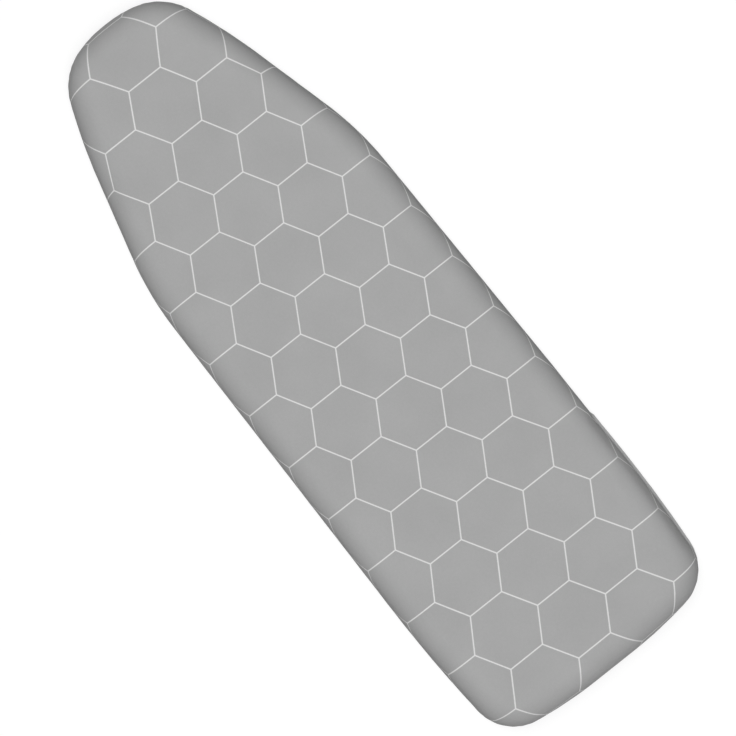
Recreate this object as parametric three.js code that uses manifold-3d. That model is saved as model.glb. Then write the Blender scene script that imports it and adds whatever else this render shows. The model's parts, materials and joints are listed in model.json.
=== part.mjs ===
// Ironing board cover, in the shape it takes on its board. Millimetres, +Z up.
// +X points to the nose, +Y is the left side, and the origin lies under the middle of the cover, on the
// plane that its turned-under edge rests on. The board itself is the hollow inside.

import * as THREE from "three";
import { mergeVertices } from "three/addons/utils/BufferGeometryUtils.js";
import Module from "manifold-3d";

const wasm = await Module();
wasm.setup();

// Driving sizes of the fitted cover
const coverLength = 1220;
const coverWidth = 416;
const coverHeight = 48;

// The edge: the face rolls down the side, turns under the board and ends in a hem
const turnRadius = 6;
const shoulderRadius = coverHeight - turnRadius;
const footWidth = 10;
const skirtDepth = 50;
const hemRise = 4.6;
const hemEase = 1.5;
const hemCornerRadius = 32;

// Layers, from the face inwards, and the clearance that touching pieces keep
const clothThickness = 0.6;
const foamThickness = 6;
const feltThickness = 3;
const seatGap = 0.3;

// How far each padding layer goes down the last facet of the quarter round before its cut edge
const foamEndShare = 0.7;
const feltEndShare = 0.45;

// Hem: a folded tape laps the cut edge of the cloth and holds the elastic in its fold
const bindingThickness = 0.5;
const bindingLap = 9;
const bindingJoins = { heel: -0.705, nose: 0.41 };
const elasticWidth = 8;
const elasticThickness = 1;

// Cross straps under the board, each with a sprung clip on the hem at either end
const strapWidth = 18;
const strapThickness = 1.2;
const strapLap = 12;
const strapStations = [
  { place: "heel", share: -0.66 },
  { place: "middle", share: -0.17 },
  { place: "nose", share: 0.3 },
];

// Clip, pressed from sheet steel
const sheet = 0.8;
const jawReach = 11;
const jawLip = 1.4;
const toothDepth = 1.2;
const toothCount = 7;
const railWidth = 2.6;
const pinBack = 5;
const pinRadius = 1;
const rivetHeadRadius = 1.8;
const rivetHead = 0.6;
const earRadius = 2.2;
const leverRear = 12;
const leverRise = 4.2;
const slotBack = 11;
const slotLength = 3.3;
const barLength = 3;
const cornerCut = 2;

// Torsion spring on the clip's rivet
const wireRadius = 0.35;
const springTurns = 3.5;
const springPitch = 1.25;
const springLeg = 3;

// How finely curves are cut into facets
const outlineChordError = 0.25;
const shoulderSteps = 6;
const turnSteps = 3;
const earSteps = 8;
const rivetSides = 10;
const wireSides = 5;
const stepsPerTurn = 8;

const cotton = new THREE.MeshStandardMaterial({ color: 0xa5a5a5, roughness: 0.92, metalness: 0 });
const foam = new THREE.MeshStandardMaterial({ color: 0xe9e6dc, roughness: 0.98, metalness: 0 });
const felt = new THREE.MeshStandardMaterial({ color: 0xd9d6cf, roughness: 1, metalness: 0 });
const tape = new THREE.MeshStandardMaterial({ color: 0x8f8f90, roughness: 0.9, metalness: 0 });
const rubberBand = new THREE.MeshStandardMaterial({ color: 0xf2f2ee, roughness: 0.85, metalness: 0 });
const platedSteel = new THREE.MeshStandardMaterial({ color: 0xc9cbcd, roughness: 0.3, metalness: 1 });
const springSteel = new THREE.MeshStandardMaterial({ color: 0x9fa3a8, roughness: 0.35, metalness: 1 });

const { lerp } = THREE.MathUtils;
const cover = new THREE.Group();

function addMesh(parent, name, geometry, material) {
  const mesh = new THREE.Mesh(geometry, material);
  mesh.name = name;
  parent.add(mesh);
  return mesh;
}

// The half outline of the board, from the nose to the heel, as corners of a polygon in shares of the half
// length and half width. reach is the share of the edge before a corner that its round takes up.
const outlineShares = [
  { along: 1, across: 0.144, reach: 0.83 },
  { along: 0.968, across: 0.462, reach: 0.633 },
  { along: 0.808, across: 0.657, reach: 0.583 },
  { along: 0.415, across: 0.962, reach: 0.247 },
  { along: -0.718, across: 1.006, reach: 0.14 },
  { along: -0.972, across: 0.948, reach: 0.37 },
  { along: -1, across: 0.411, reach: 0.46 },
];

const leftOf = (direction) => new THREE.Vector2(-direction.y, direction.x);

// Each corner with its inward normals, its radius and the number of facets in its round.
function roundedCorners() {
  const points = [
    new THREE.Vector2(coverLength / 2, 0),
    ...outlineShares.map((s) => new THREE.Vector2((s.along * coverLength) / 2, (s.across * coverWidth) / 2)),
    new THREE.Vector2(-coverLength / 2, 0),
  ];
  const edges = points.slice(1).map((p, i) => p.clone().sub(points[i]));
  return outlineShares.map((share, i) => {
    const before = edges[i];
    const after = edges[i + 1];
    const turn = before.angleTo(after);
    const next = outlineShares[i + 1];
    const left = next ? 1 - next.reach : 1;
    const tangent = Math.min(share.reach * before.length(), left * after.length());
    const radius = tangent / Math.tan(turn / 2);
    const inward = [before, after].map((edge) => leftOf(edge.clone().normalize()));
    const miter = inward[0].clone().add(inward[1]).divideScalar(1 + inward[0].dot(inward[1]));
    const steps = Math.ceil(turn * Math.sqrt(radius / (8 * outlineChordError)));
    return { at: points[i + 1], inward, miter, turn, radius, steps };
  });
}

const corners = roundedCorners();
const hemInset = skirtDepth - bindingLap;

// The closed outline, moved in from the cover's edge by inset and lifted to z. The heel corners keep at
// least the hem's corner radius, and past the start of the hem every ring runs parallel to the last.
function ring({ inset, z }) {
  const held = Math.min(inset, hemInset);
  const half = corners.flatMap(({ at, inward, miter, turn, radius, steps }) => {
    const round = Math.max(radius - held, Math.min(radius, hemCornerRadius)) - (inset - held);
    const centre = at.clone().addScaledVector(miter, inset + round);
    const start = inward[0].angle();
    return Array.from({ length: steps + 1 }, (_, k) => {
      const angle = start + (turn * k) / steps;
      return new THREE.Vector3(centre.x - round * Math.cos(angle), centre.y - round * Math.sin(angle), z);
    });
  });
  const nose = new THREE.Vector3(coverLength / 2 - inset, 0, z);
  const heel = new THREE.Vector3(inset - coverLength / 2, 0, z);
  const mirrored = half.map((p) => new THREE.Vector3(p.x, -p.y, p.z)).reverse();
  return [nose, ...half, heel, ...mirrored];
}

// Joins rings of equal length into one body. A closed skin runs back to its first ring, as a tube bent
// into a loop does; an open one gets a cap across its first and last ring.
function skin(rings, closed = false) {
  const count = rings[0].length;
  const index = [];
  const bands = closed ? rings.length : rings.length - 1;
  for (let r = 0; r < bands; r += 1) {
    const here = r * count;
    const there = ((r + 1) % rings.length) * count;
    for (let i = 0; i < count; i += 1) {
      const j = (i + 1) % count;
      index.push(here + i, there + i, there + j, here + i, there + j, here + j);
    }
  }
  // A cap is a strip across the ring, from its first point to the one opposite.
  const addCap = (start, facesBack) => {
    const triangle = (a, b, c) => index.push(start + a, start + (facesBack ? c : b), start + (facesBack ? b : c));
    for (let low = 0, high = count - 1; low + 1 < high; low += 1, high -= 1) {
      triangle(low, low + 1, high);
      if (low + 1 < high - 1) triangle(low + 1, high - 1, high);
    }
  };
  if (!closed) {
    addCap(0, false);
    addCap((rings.length - 1) * count, true);
  }
  const geometry = new THREE.BufferGeometry().setFromPoints(rings.flat());
  geometry.setIndex(index);
  geometry.computeVertexNormals();
  return geometry;
}

const spaced = (steps, make) => Array.from({ length: steps + 1 }, (_, k) => make(k / steps));

// Profile of the quarter round, depth below the face, cut off at share of its last facet.
function shoulder(depth, share) {
  const radius = shoulderRadius - depth;
  const way = spaced(shoulderSteps, (t) => {
    const angle = (t * Math.PI) / 2;
    return { inset: shoulderRadius - radius * Math.sin(angle), z: turnRadius + radius * Math.cos(angle) };
  });
  const [start, end] = way.slice(-2);
  const cut = { inset: lerp(start.inset, end.inset, share), z: lerp(start.z, end.z, share) };
  return [...way.slice(0, -1), cut];
}

// Profile of the small round at the bottom of the side, without its first point.
function turnUnder(depth) {
  const radius = turnRadius - depth;
  return spaced(turnSteps, (t) => {
    const angle = ((1 + t) * Math.PI) / 2;
    return { inset: turnRadius - radius * Math.sin(angle), z: turnRadius + radius * Math.cos(angle) };
  }).slice(1);
}

// The whole way of the cloth from its face to its cut edge, depth below its outer surface.
function clothWay(depth) {
  const hemLevel = hemRise - clothThickness / 2 + depth;
  return [
    ...shoulder(depth, 1),
    ...turnUnder(depth),
    { inset: turnRadius + footWidth, z: depth },
    { inset: hemInset - hemEase, z: hemLevel },
    { inset: skirtDepth, z: hemLevel },
  ];
}

const layer = (outer, inner) => skin([...outer, ...inner.reverse()].map(ring));

// The layers, each lying under the one before it
const foamTop = clothThickness + seatGap;
const foamBottom = foamTop + foamThickness;
const feltTop = foamBottom + seatGap;
const feltBottom = feltTop + feltThickness;
addMesh(cover, "face_fabric", layer(clothWay(0), clothWay(clothThickness)), cotton);
addMesh(cover, "foam_pad", layer(shoulder(foamTop, foamEndShare), shoulder(foamBottom, foamEndShare)), foam);
addMesh(cover, "felt_underlay", layer(shoulder(feltTop, feltEndShare), shoulder(feltBottom, feltEndShare)), felt);

// Hem: heights are taken from its middle plane, which lies at hemRise
const elasticInset = skirtDepth + seatGap;
const elasticEnd = elasticInset + elasticWidth;
const slotHalf = elasticThickness / 2 + seatGap;
const hemHalf = slotHalf + bindingThickness;
const foldInset = elasticEnd + seatGap + bindingThickness;
const foldRound = bindingThickness;

function hemLoop(section) {
  return skin(section.map(([inset, height]) => ring({ inset, z: hemRise + height })), true);
}

const bindingSection = [
  [foldInset, hemHalf - foldRound],
  [foldInset - foldRound, hemHalf],
  [hemInset, hemHalf],
  [hemInset, slotHalf],
  [foldInset - bindingThickness, slotHalf],
  [foldInset - bindingThickness, -slotHalf],
  [hemInset, -slotHalf],
  [hemInset, -hemHalf],
  [foldInset - foldRound, -hemHalf],
  [foldInset, foldRound - hemHalf],
];
const elasticSection = [
  [elasticEnd, elasticThickness / 2],
  [elasticInset, elasticThickness / 2],
  [elasticInset, -elasticThickness / 2],
  [elasticEnd, -elasticThickness / 2],
];

// The tape comes in four lengths that meet on the long sides, so each end is turned in one length.
const bindingLoop = toSolid(hemLoop(bindingSection));
const heelJoin = (bindingJoins.heel * coverLength) / 2;
const noseJoin = (bindingJoins.nose * coverLength) / 2;
const heelSide = heelJoin + seatGap / 2;
const noseSide = noseJoin - seatGap / 2;
const bindingLengths = {
  heel: { low: [-coverLength, -coverWidth], high: [heelJoin - seatGap / 2, coverWidth] },
  left: { low: [heelSide, 0], high: [noseSide, coverWidth] },
  right: { low: [heelSide, -coverWidth], high: [noseSide, 0] },
  nose: { low: [noseJoin + seatGap / 2, -coverWidth], high: [coverLength, coverWidth] },
};
for (const [name, { low, high }] of Object.entries(bindingLengths)) {
  const room = wasm.Manifold.cube([high[0] - low[0], high[1] - low[1], 2 * coverHeight]);
  const length = bindingLoop.intersect(room.translate([low[0], low[1], -coverHeight]));
  addMesh(cover, `hem_binding_${name}`, toGeometry(length), tape);
}
addMesh(cover, "hem_elastic", hemLoop(elasticSection), rubberBand);

// Clip coordinates: x across the clip, y out from the fold of the hem, z up from the hem's middle plane
const jawFace = earRadius + seatGap;
const jawBack = jawFace + sheet;
const clipWidth = strapWidth + 2 * (seatGap + railWidth);
const slotWidth = strapWidth + 2 * seatGap;
const lipFace = hemHalf + seatGap;
const slotFront = -slotBack - pinBack;
const barFront = slotFront - slotLength;
const barEnd = barFront - barLength;
const rampEnd = slotFront + cornerCut;
const rampStart = -pinBack - earRadius - cornerCut;
const overrun = 2 * sheet;

const alongWidth = new THREE.Matrix4().makeBasis(
  new THREE.Vector3(0, 1, 0),
  new THREE.Vector3(0, 0, 1),
  new THREE.Vector3(1, 0, 0),
);

function extrude(shape, from, to) {
  const settings = { depth: to - from, bevelEnabled: false, steps: 1 };
  return new THREE.ExtrudeGeometry(shape, settings).translate(0, 0, from);
}

// A side profile, given as [y, z] points, run across the width from one x to another.
function acrossWidth(points, from, to) {
  const shape = new THREE.Shape(points.map(([y, z]) => new THREE.Vector2(y, z)));
  return extrude(shape, from, to).applyMatrix4(alongWidth);
}

function toSolid(geometry) {
  const bare = geometry.index ? geometry.toNonIndexed() : geometry.clone();
  bare.deleteAttribute("normal");
  bare.deleteAttribute("uv");
  const merged = mergeVertices(bare, sheet / 1e4);
  const vertProperties = merged.attributes.position.array;
  return new wasm.Manifold(new wasm.Mesh({ numProp: 3, vertProperties, triVerts: new Uint32Array(merged.index.array) }));
}

function toGeometry(solid) {
  const { vertProperties, triVerts } = solid.getMesh();
  const geometry = new THREE.BufferGeometry();
  geometry.setAttribute("position", new THREE.BufferAttribute(vertProperties, 3));
  geometry.setIndex(new THREE.BufferAttribute(triVerts, 1));
  geometry.computeVertexNormals();
  return geometry;
}

// Plan of a jaw: teeth along its front edge and cut corners at its rear.
function jawPlan(rear, height) {
  const half = clipWidth / 2;
  const pitch = clipWidth / toothCount;
  const shape = new THREE.Shape().moveTo(half - cornerCut, rear).lineTo(half, rear + cornerCut);
  for (let tooth = 0; tooth < toothCount; tooth += 1) {
    const side = half - tooth * pitch;
    shape.lineTo(side, jawReach - toothDepth).lineTo(side - pitch / 2, jawReach);
  }
  shape.lineTo(-half, jawReach - toothDepth).lineTo(-half, rear + cornerCut).lineTo(cornerCut - half, rear);
  return extrude(shape, -height, height);
}

// An ear: a disc round the rivet that runs straight out to the back of its jaw plate.
function ear(side, inner, outer) {
  const disc = spaced(earSteps, (t) => {
    const angle = Math.PI * (1 + t);
    return [-pinBack + earRadius * Math.cos(angle), side * earRadius * Math.sin(angle)];
  });
  const shape = [...disc, [earRadius - pinBack, side * jawBack], [-earRadius - pinBack, side * jawBack]];
  return acrossWidth(side > 0 ? shape : shape.reverse(), inner, outer);
}

const earOuter = clipWidth / 2;
const earInner = earOuter - sheet;
const leverEarOuter = earInner - seatGap;
const leverEarInner = leverEarOuter - sheet;

function pinHole() {
  const reach = earOuter + overrun;
  const bore = new THREE.CylinderGeometry(pinRadius + seatGap, pinRadius + seatGap, 2 * reach, rivetSides);
  return bore.rotateZ(Math.PI / 2).translate(0, -pinBack, 0);
}

// One pressed jaw: its side profile cut to its plan, with two ears bored for the rivet.
function jaw({ profile, rear, side, inner, outer }) {
  const height = jawBack + leverRise + overrun;
  const plate = toSolid(acrossWidth(profile, -earOuter, earOuter)).intersect(toSolid(jawPlan(rear, height)));
  return plate
    .add(toSolid(ear(side, inner, outer)))
    .add(toSolid(ear(side, -outer, -inner)))
    .subtract(toSolid(pinHole()));
}

// The base lies under the hem and rises to the level of the strap, which it holds on its rear bar.
function clipBase() {
  const profile = [
    [jawReach, -jawBack],
    [jawReach, -lipFace],
    [jawReach - jawLip, -lipFace],
    [jawReach - jawLip, -jawFace],
    [rampStart, -jawFace],
    [rampEnd, sheet / 2],
    [barEnd, sheet / 2],
    [barEnd, -sheet / 2],
    [rampEnd, -sheet / 2],
    [rampStart, -jawBack],
  ];
  const slot = [
    [slotFront, -overrun],
    [slotFront, overrun],
    [barFront, overrun],
    [barFront, -overrun],
  ];
  const base = jaw({ profile, rear: barEnd, side: -1, inner: earInner, outer: earOuter });
  return toGeometry(base.subtract(toSolid(acrossWidth(slot, -slotWidth / 2, slotWidth / 2))));
}

// The lever lies over the hem; its rear slants up, and pressing it down opens the jaws.
function clipLever() {
  const rear = -pinBack - leverRear;
  const bend = -pinBack - earRadius;
  const profile = [
    [jawReach, lipFace],
    [jawReach, jawBack],
    [bend, jawBack],
    [rear, jawBack + leverRise],
    [rear, jawFace + leverRise],
    [bend, jawFace],
    [jawReach - jawLip, jawFace],
    [jawReach - jawLip, lipFace],
  ];
  return toGeometry(jaw({ profile, rear, side: 1, inner: leverEarInner, outer: leverEarOuter }));
}

function clipRivet() {
  const headStart = earOuter + seatGap;
  const end = headStart + rivetHead;
  const profile = [
    [0, -end],
    [rivetHeadRadius, -end],
    [rivetHeadRadius, -headStart],
    [pinRadius, -headStart],
    [pinRadius, headStart],
    [rivetHeadRadius, headStart],
    [rivetHeadRadius, end],
    [0, end],
  ].map(([radius, x]) => new THREE.Vector2(radius, x));
  return new THREE.LatheGeometry(profile, rivetSides).rotateZ(-Math.PI / 2).translate(0, -pinBack, 0);
}

// Wire of the spring: a helix round the rivet with a straight leg at each end, towards the rear.
const coilRadius = earRadius - wireRadius;

function springPath() {
  const steps = Math.round(springTurns * stepsPerTurn);
  const length = springTurns * springPitch;
  const coil = spaced(steps, (t) => {
    const angle = -Math.PI / 2 + t * springTurns * 2 * Math.PI;
    const y = -pinBack + coilRadius * Math.cos(angle);
    return new THREE.Vector3((t - 1 / 2) * length, y, coilRadius * Math.sin(angle));
  });
  const leg = (root) => root.clone().add(new THREE.Vector3(0, -springLeg, 0));
  return [leg(coil[0]), ...coil, leg(coil[steps])];
}

// The least room between two places on the wire that lie at least half a turn apart.
function leastGap(path) {
  const apart = stepsPerTurn / 2;
  const gaps = path.flatMap((p, i) => path.slice(i + apart).map((q) => p.distanceTo(q) - 2 * wireRadius));
  return Math.min(...gaps);
}

// Rings of wire round a path: each ring stands square to the way the path runs there, and its first
// point lies on the side away from the rivet.
function wireRings(path) {
  const across = new THREE.Vector3(1, 0, 0);
  return path.map((point, i) => {
    const before = path[Math.max(i - 1, 0)];
    const after = path[Math.min(i + 1, path.length - 1)];
    const tangent = after.clone().sub(before).normalize();
    const out = across.clone().cross(tangent).normalize();
    const aside = out.clone().cross(tangent);
    return Array.from({ length: wireSides }, (_, k) => {
      const angle = (k * 2 * Math.PI) / wireSides;
      const outward = out.clone().multiplyScalar(wireRadius * Math.cos(angle));
      return point.clone().add(outward).addScaledVector(aside, wireRadius * Math.sin(angle));
    });
  });
}

// How far the left side of the outline stands from the middle at x, on the ring at inset.
function halfWidthAt(x, inset) {
  const points = ring({ inset, z: 0 }).filter((p) => p.y >= 0);
  const next = points.findIndex((p) => p.x < x);
  const [a, b] = [points[next - 1], points[next]];
  return a.y + ((b.y - a.y) * (x - a.x)) / (b.x - a.x);
}

// The strap's side profile. Each end goes down through its clip's slot, round the bar and back, and is
// sewn to itself over strapLap.
function strapGeometry(hemReach) {
  const loopFace = sheet / 2 + seatGap;
  const loopBack = loopFace + strapThickness;
  const front = barFront + seatGap;
  const rear = barEnd - seatGap;
  const closing = rear - loopFace;
  const lapEnd = closing - strapLap;
  const end = front + strapThickness;
  const above = [
    [end, loopFace],
    [front, loopBack],
    [rear, loopBack],
    [closing, strapThickness],
    [lapEnd, strapThickness],
    [lapEnd, strapThickness / 2],
  ];
  const below = above.map(([y, z]) => [y, -z]).reverse();
  const left = [...below, ...above].map(([y, z]) => [hemReach + y, z]);
  const right = left.map(([y, z]) => [-y, -z]);
  const eye = [
    [front, loopFace],
    [rear, loopFace],
    [closing, 0],
    [rear, -loopFace],
    [front, -loopFace],
  ].map(([y, z]) => [hemReach + y, z]);
  const band = toSolid(acrossWidth([...left, ...right], -strapWidth / 2, strapWidth / 2));
  const bar = toSolid(acrossWidth(eye, -strapWidth, strapWidth));
  return toGeometry(band.subtract(bar).subtract(bar.rotate([0, 0, 180])));
}

const clipPieces = {
  base: { geometry: clipBase(), material: platedSteel },
  lever: { geometry: clipLever(), material: platedSteel },
  rivet: { geometry: clipRivet(), material: platedSteel },
  spring: { geometry: skin(wireRings(springPath())), material: springSteel },
};

for (const { place, share } of strapStations) {
  const x = (share * coverLength) / 2;
  const hemReach = halfWidthAt(x, foldInset);
  const station = new THREE.Group();
  station.position.set(x, 0, hemRise);
  cover.add(station);
  addMesh(station, `strap_${place}`, strapGeometry(hemReach), rubberBand);
  for (const [side, turn] of Object.entries({ left: 0, right: Math.PI })) {
    const clip = new THREE.Group();
    clip.rotation.z = turn;
    clip.position.y = turn ? -hemReach : hemReach;
    station.add(clip);
    for (const [piece, { geometry, material }] of Object.entries(clipPieces)) {
      addMesh(clip, `clip_${piece}_${place}_${side}`, geometry, material);
    }
  }
}

const toRivet = coilRadius - wireRadius - pinRadius;
console.log(`spring: least gap to itself ${leastGap(springPath()).toFixed(2)} mm, to its rivet ${toRivet.toFixed(2)} mm`);

export default cover;
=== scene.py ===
# %% [markdown]
# # A fitted ironing board cover
# The object is a padded textile cover in the shape it takes on its board: a printed cotton face over foam
# and felt, rolled round the edge, turned under, and held by an elasticated hem and three straps with
# sprung clips.
# The solids of the part are already there. This lesson dresses them: it replaces each solid with a piece
# that has thickness, gathers, stitches or rounded edges, and gives each piece a material made of nodes.
#
# Everything is in metres, in the frame of the part: +X to the nose, +Y to the left side, +Z up.

# %% Load the part as a fixed frame
import json
import math

import bmesh
import bpy
import numpy as np
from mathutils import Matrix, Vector, geometry


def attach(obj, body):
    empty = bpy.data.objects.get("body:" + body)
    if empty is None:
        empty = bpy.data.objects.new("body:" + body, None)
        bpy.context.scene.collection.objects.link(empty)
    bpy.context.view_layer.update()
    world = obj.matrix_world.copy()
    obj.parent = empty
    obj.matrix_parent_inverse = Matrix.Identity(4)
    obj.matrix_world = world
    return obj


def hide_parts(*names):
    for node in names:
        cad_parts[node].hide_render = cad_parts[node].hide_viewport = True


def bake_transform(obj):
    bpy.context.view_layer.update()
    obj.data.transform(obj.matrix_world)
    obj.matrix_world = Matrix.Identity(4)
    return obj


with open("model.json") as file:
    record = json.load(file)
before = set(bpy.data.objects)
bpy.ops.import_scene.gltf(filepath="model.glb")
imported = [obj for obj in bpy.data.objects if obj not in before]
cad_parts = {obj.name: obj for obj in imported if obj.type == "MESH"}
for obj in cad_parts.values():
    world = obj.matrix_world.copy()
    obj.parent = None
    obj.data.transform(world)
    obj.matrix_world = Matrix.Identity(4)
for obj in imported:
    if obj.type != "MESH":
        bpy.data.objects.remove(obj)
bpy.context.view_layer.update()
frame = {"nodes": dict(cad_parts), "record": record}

# %% [markdown]
# ## Sizes
# The cover is drawn from a few sizes, the same ones that its solids were drawn from. They could be measured
# on the solids' meshes, but a named size says what it is for. Keeping them in one place also means that a
# piece made here lies exactly where its solid lies.

# %% Sizes of the cover
# Insets are measured in from the outer edge. The cloth turns under the board with TURN_RADIUS, rests about
# as far in as FOOT_END, rises to the hem tape at HEM_INSET and is cut off inside the tape at SKIRT_DEPTH.
# HEM_RISE is the height of the tape's middle, and HEM_CORNER the tightest round of its outer edge.
LENGTH = 1.220
WIDTH = 0.416
HEIGHT = 0.048
TURN_RADIUS = 0.006
SHOULDER_RADIUS = HEIGHT - TURN_RADIUS
FOOT_END = 0.016
SKIRT_DEPTH = 0.050
HEM_INSET = 0.041
HEM_CORNER = 0.032
HEM_RISE = 0.0046

# The cloth is CLOTH thick. Foam and felt each lie between two depths below the face, and end at a turn of
# so many degrees round the edge.
CLOTH = 0.0006
FOAM = (0.0009, 0.0069)
FELT = (0.0072, 0.0102)
FOAM_EDGE_TURN = 85
FELT_EDGE_TURN = 82

# Corners of half the outline, from the nose to the heel: along and across, as shares of half the length and
# width, and the share of the edge before the corner that its rounding takes.
OUTLINE = (
    (1, 0.144, 0.83),
    (0.968, 0.462, 0.633),
    (0.808, 0.657, 0.583),
    (0.415, 0.962, 0.247),
    (-0.718, 1.006, 0.14),
    (-0.972, 0.948, 0.37),
    (-1, 0.411, 0.46),
)

# %% [markdown]
# ## The outline as a family of rings
# A cover has no square edges, so every layer of it is drawn as rings that follow the board's outline, each
# at some distance in from the edge. The rings could come from offset curves, but each of those has its own
# number of points. Here the outline is a polygon with rounded corners, and each ring is sampled at the same
# places, so that rings can be joined into cloth without twisting it.

# %% Corners of the outline
def outline_corners():
    ends = [(LENGTH / 2, 0.0), (-LENGTH / 2, 0.0)]
    middle = [(along * LENGTH / 2, across * WIDTH / 2) for along, across, _ in OUTLINE]
    points = np.array([ends[0], *middle, ends[1]])
    edges = np.diff(points, axis=0)
    lengths = np.linalg.norm(edges, axis=1)
    along = edges / lengths[:, None]
    inward = np.column_stack((-along[:, 1], along[:, 0]))
    corners = []
    for i, (_, _, reach) in enumerate(OUTLINE):
        turn = math.acos(float(np.clip(along[i] @ along[i + 1], -1, 1)))
        spare = 1 - OUTLINE[i + 1][2] if i + 1 < len(OUTLINE) else 1
        tangent = min(reach * lengths[i], spare * lengths[i + 1])
        miter = (inward[i] + inward[i + 1]) / (1 + inward[i] @ inward[i + 1])
        corners.append({
            "at": points[i + 1],
            "miter": miter,
            "turn": turn,
            "radius": tangent / math.tan(turn / 2),
            "first": math.atan2(inward[i][1], inward[i][0]),
        })
    return corners, inward


CORNERS, EDGE_INWARD = outline_corners()
print("radius of each corner, mm:", [round(corner["radius"] * 1000) for corner in CORNERS])


# %% Rings from samples on the outline
def segments_at(inset):
    """The straights and rounds of the half outline, moved in by inset. Up to the hem no round gets tighter
    than HEM_CORNER, so that neighbouring rings never cross."""
    held = min(inset, HEM_INSET)
    segments = []
    last = np.array([LENGTH / 2 - inset, 0.0])
    for i, corner in enumerate(CORNERS):
        radius = max(corner["radius"] - held, min(corner["radius"], HEM_CORNER)) - (inset - held)
        centre = corner["at"] + corner["miter"] * (inset + radius)
        turns = corner["first"], corner["first"] + corner["turn"]
        first, end = (centre - radius * np.array([math.cos(a), math.sin(a)]) for a in turns)
        segments.append({"from": last, "to": first, "inward": EDGE_INWARD[i]})
        segments.append({"centre": centre, "radius": radius, "turns": turns})
        last = end
    segments.append({"from": last, "to": np.array([inset - LENGTH / 2, 0.0]), "inward": EDGE_INWARD[-1]})
    return segments


def segment_length(segment):
    if "centre" in segment:
        return segment["radius"] * (segment["turns"][1] - segment["turns"][0])
    return float(np.linalg.norm(segment["to"] - segment["from"]))


EDGE_STARTS = np.cumsum([0.0] + [segment_length(segment) for segment in segments_at(0)])
print("half way round the outline:", round(float(EDGE_STARTS[-1]), 4))


def half_ring(inset, samples):
    """Places and inward directions of a half ring, at distances along the outer edge from the nose."""
    places = np.zeros((len(samples), 2))
    inward = np.zeros((len(samples), 2))
    segments = segments_at(inset)
    kinds = np.clip(np.searchsorted(EDGE_STARTS, samples, side="right") - 1, 0, len(segments) - 1)
    for k, segment in enumerate(segments):
        here = kinds == k
        share = (samples[here] - EDGE_STARTS[k]) / (EDGE_STARTS[k + 1] - EDGE_STARTS[k])
        if "centre" in segment:
            angle = segment["turns"][0] + share * (segment["turns"][1] - segment["turns"][0])
            inward[here] = np.column_stack((np.cos(angle), np.sin(angle)))
            places[here] = segment["centre"] - segment["radius"] * inward[here]
        else:
            inward[here] = segment["inward"]
            places[here] = segment["from"] + share[:, None] * (segment["to"] - segment["from"])
    return places, inward


# %% [markdown]
# ## Where the cloth has to gather
# The cloth is cut larger than the opening under the board. On the long sides it lies almost flat, but round
# the nose and the heel corners the hem ring is much shorter than the edge above it, and the spare cloth
# gathers. The gathers could be painted by hand, but the share by which the ring shrinks gives their
# fullness as it is on the real cover. It also sets how closely the rings are sampled, so that the mesh is
# fine only where the cloth is lively.

# %% Fullness of the gathers and the samples round the cover
# Steps between samples go from plain to fine while the fullness goes from 0 to FINE_FROM. The cloth is as
# full as it gets where its ring shrinks by FULL_SHRINK, and BLUR evens out the change along the edge.
FINE_STEP = 0.0022
PLAIN_STEP = 0.0062
FINE_FROM = 0.5
FULL_SHRINK = 0.38
BLUR = 0.016
TRIAL_SAMPLES = 2400


def half_fullness(samples):
    outer, _ = half_ring(0, samples)
    hem, _ = half_ring(HEM_INSET, samples)
    step_out = np.linalg.norm(np.diff(outer, axis=0), axis=1)
    step_hem = np.linalg.norm(np.diff(hem, axis=0), axis=1)
    shrink = 1 - step_hem / step_out
    shrink = np.append(shrink, shrink[-1])
    reach = 3 * BLUR
    spread = np.arange(-reach, reach, samples[1] - samples[0])
    kernel = np.exp(-((spread / BLUR) ** 2))
    padded = np.pad(shrink, len(kernel) // 2, mode="symmetric")[: len(shrink) + len(kernel) - 1]
    return np.clip(np.convolve(padded, kernel / kernel.sum(), mode="valid") / FULL_SHRINK, 0, 1)


trial = np.linspace(0, EDGE_STARTS[-1], TRIAL_SAMPLES)
trial_fullness = half_fullness(trial)
density = 1 / (PLAIN_STEP + (FINE_STEP - PLAIN_STEP) * np.clip(trial_fullness / FINE_FROM, 0, 1))
counted = np.concatenate(([0.0], np.cumsum((density[1:] + density[:-1]) / 2 * np.diff(trial))))
HALF = round(counted[-1])
SAMPLES = np.interp(np.arange(HALF + 1), counted * HALF / counted[-1], trial)
ROUND = 2 * HALF
print("samples round the cover:", ROUND)


# %% Whole rings
def mirrored(half, flip):
    """A half list of places or directions, run back along the other side."""
    return np.vstack((half, (half * flip)[::-1][1:-1]))


def ring(inset):
    places, inward = half_ring(inset, SAMPLES)
    flip = np.array([1.0, -1.0])
    return mirrored(places, flip), mirrored(inward, flip)


FLAT_MARGIN = 0.005
FLAT_INSET = SHOULDER_RADIUS + FLAT_MARGIN
FACE_EDGE, FACE_INWARD = ring(FLAT_INSET)
half_gather = np.interp(SAMPLES, trial, trial_fullness)
FULLNESS = np.concatenate((half_gather, half_gather[::-1][1:-1]))
print("fullest gather:", round(float(FULLNESS.max()), 2), "of 1")


# %% [markdown]
# ## The gathers
# A gather is a wave that runs round the cover. A cloth simulation could find the folds, but they can differ
# from one computer to the next, while a wave in the mesh is the same on each run. Its length follows the
# samples, so it is short at the corners and long on the sides, and two slower waves shift it, which keeps
# the folds uneven. Next to a clip the tape is clamped flat, so the wave fades out there.

# %% Wave round the cover
# A wave takes WAVE_SAMPLES samples. Along X it is flat up to the first distance of CLAMP from a clip, and
# full from the second one on.
WAVE_SAMPLES = 8
SIDE_LIVELINESS = 0.32
CLAMP = (0.013, 0.032)

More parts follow.
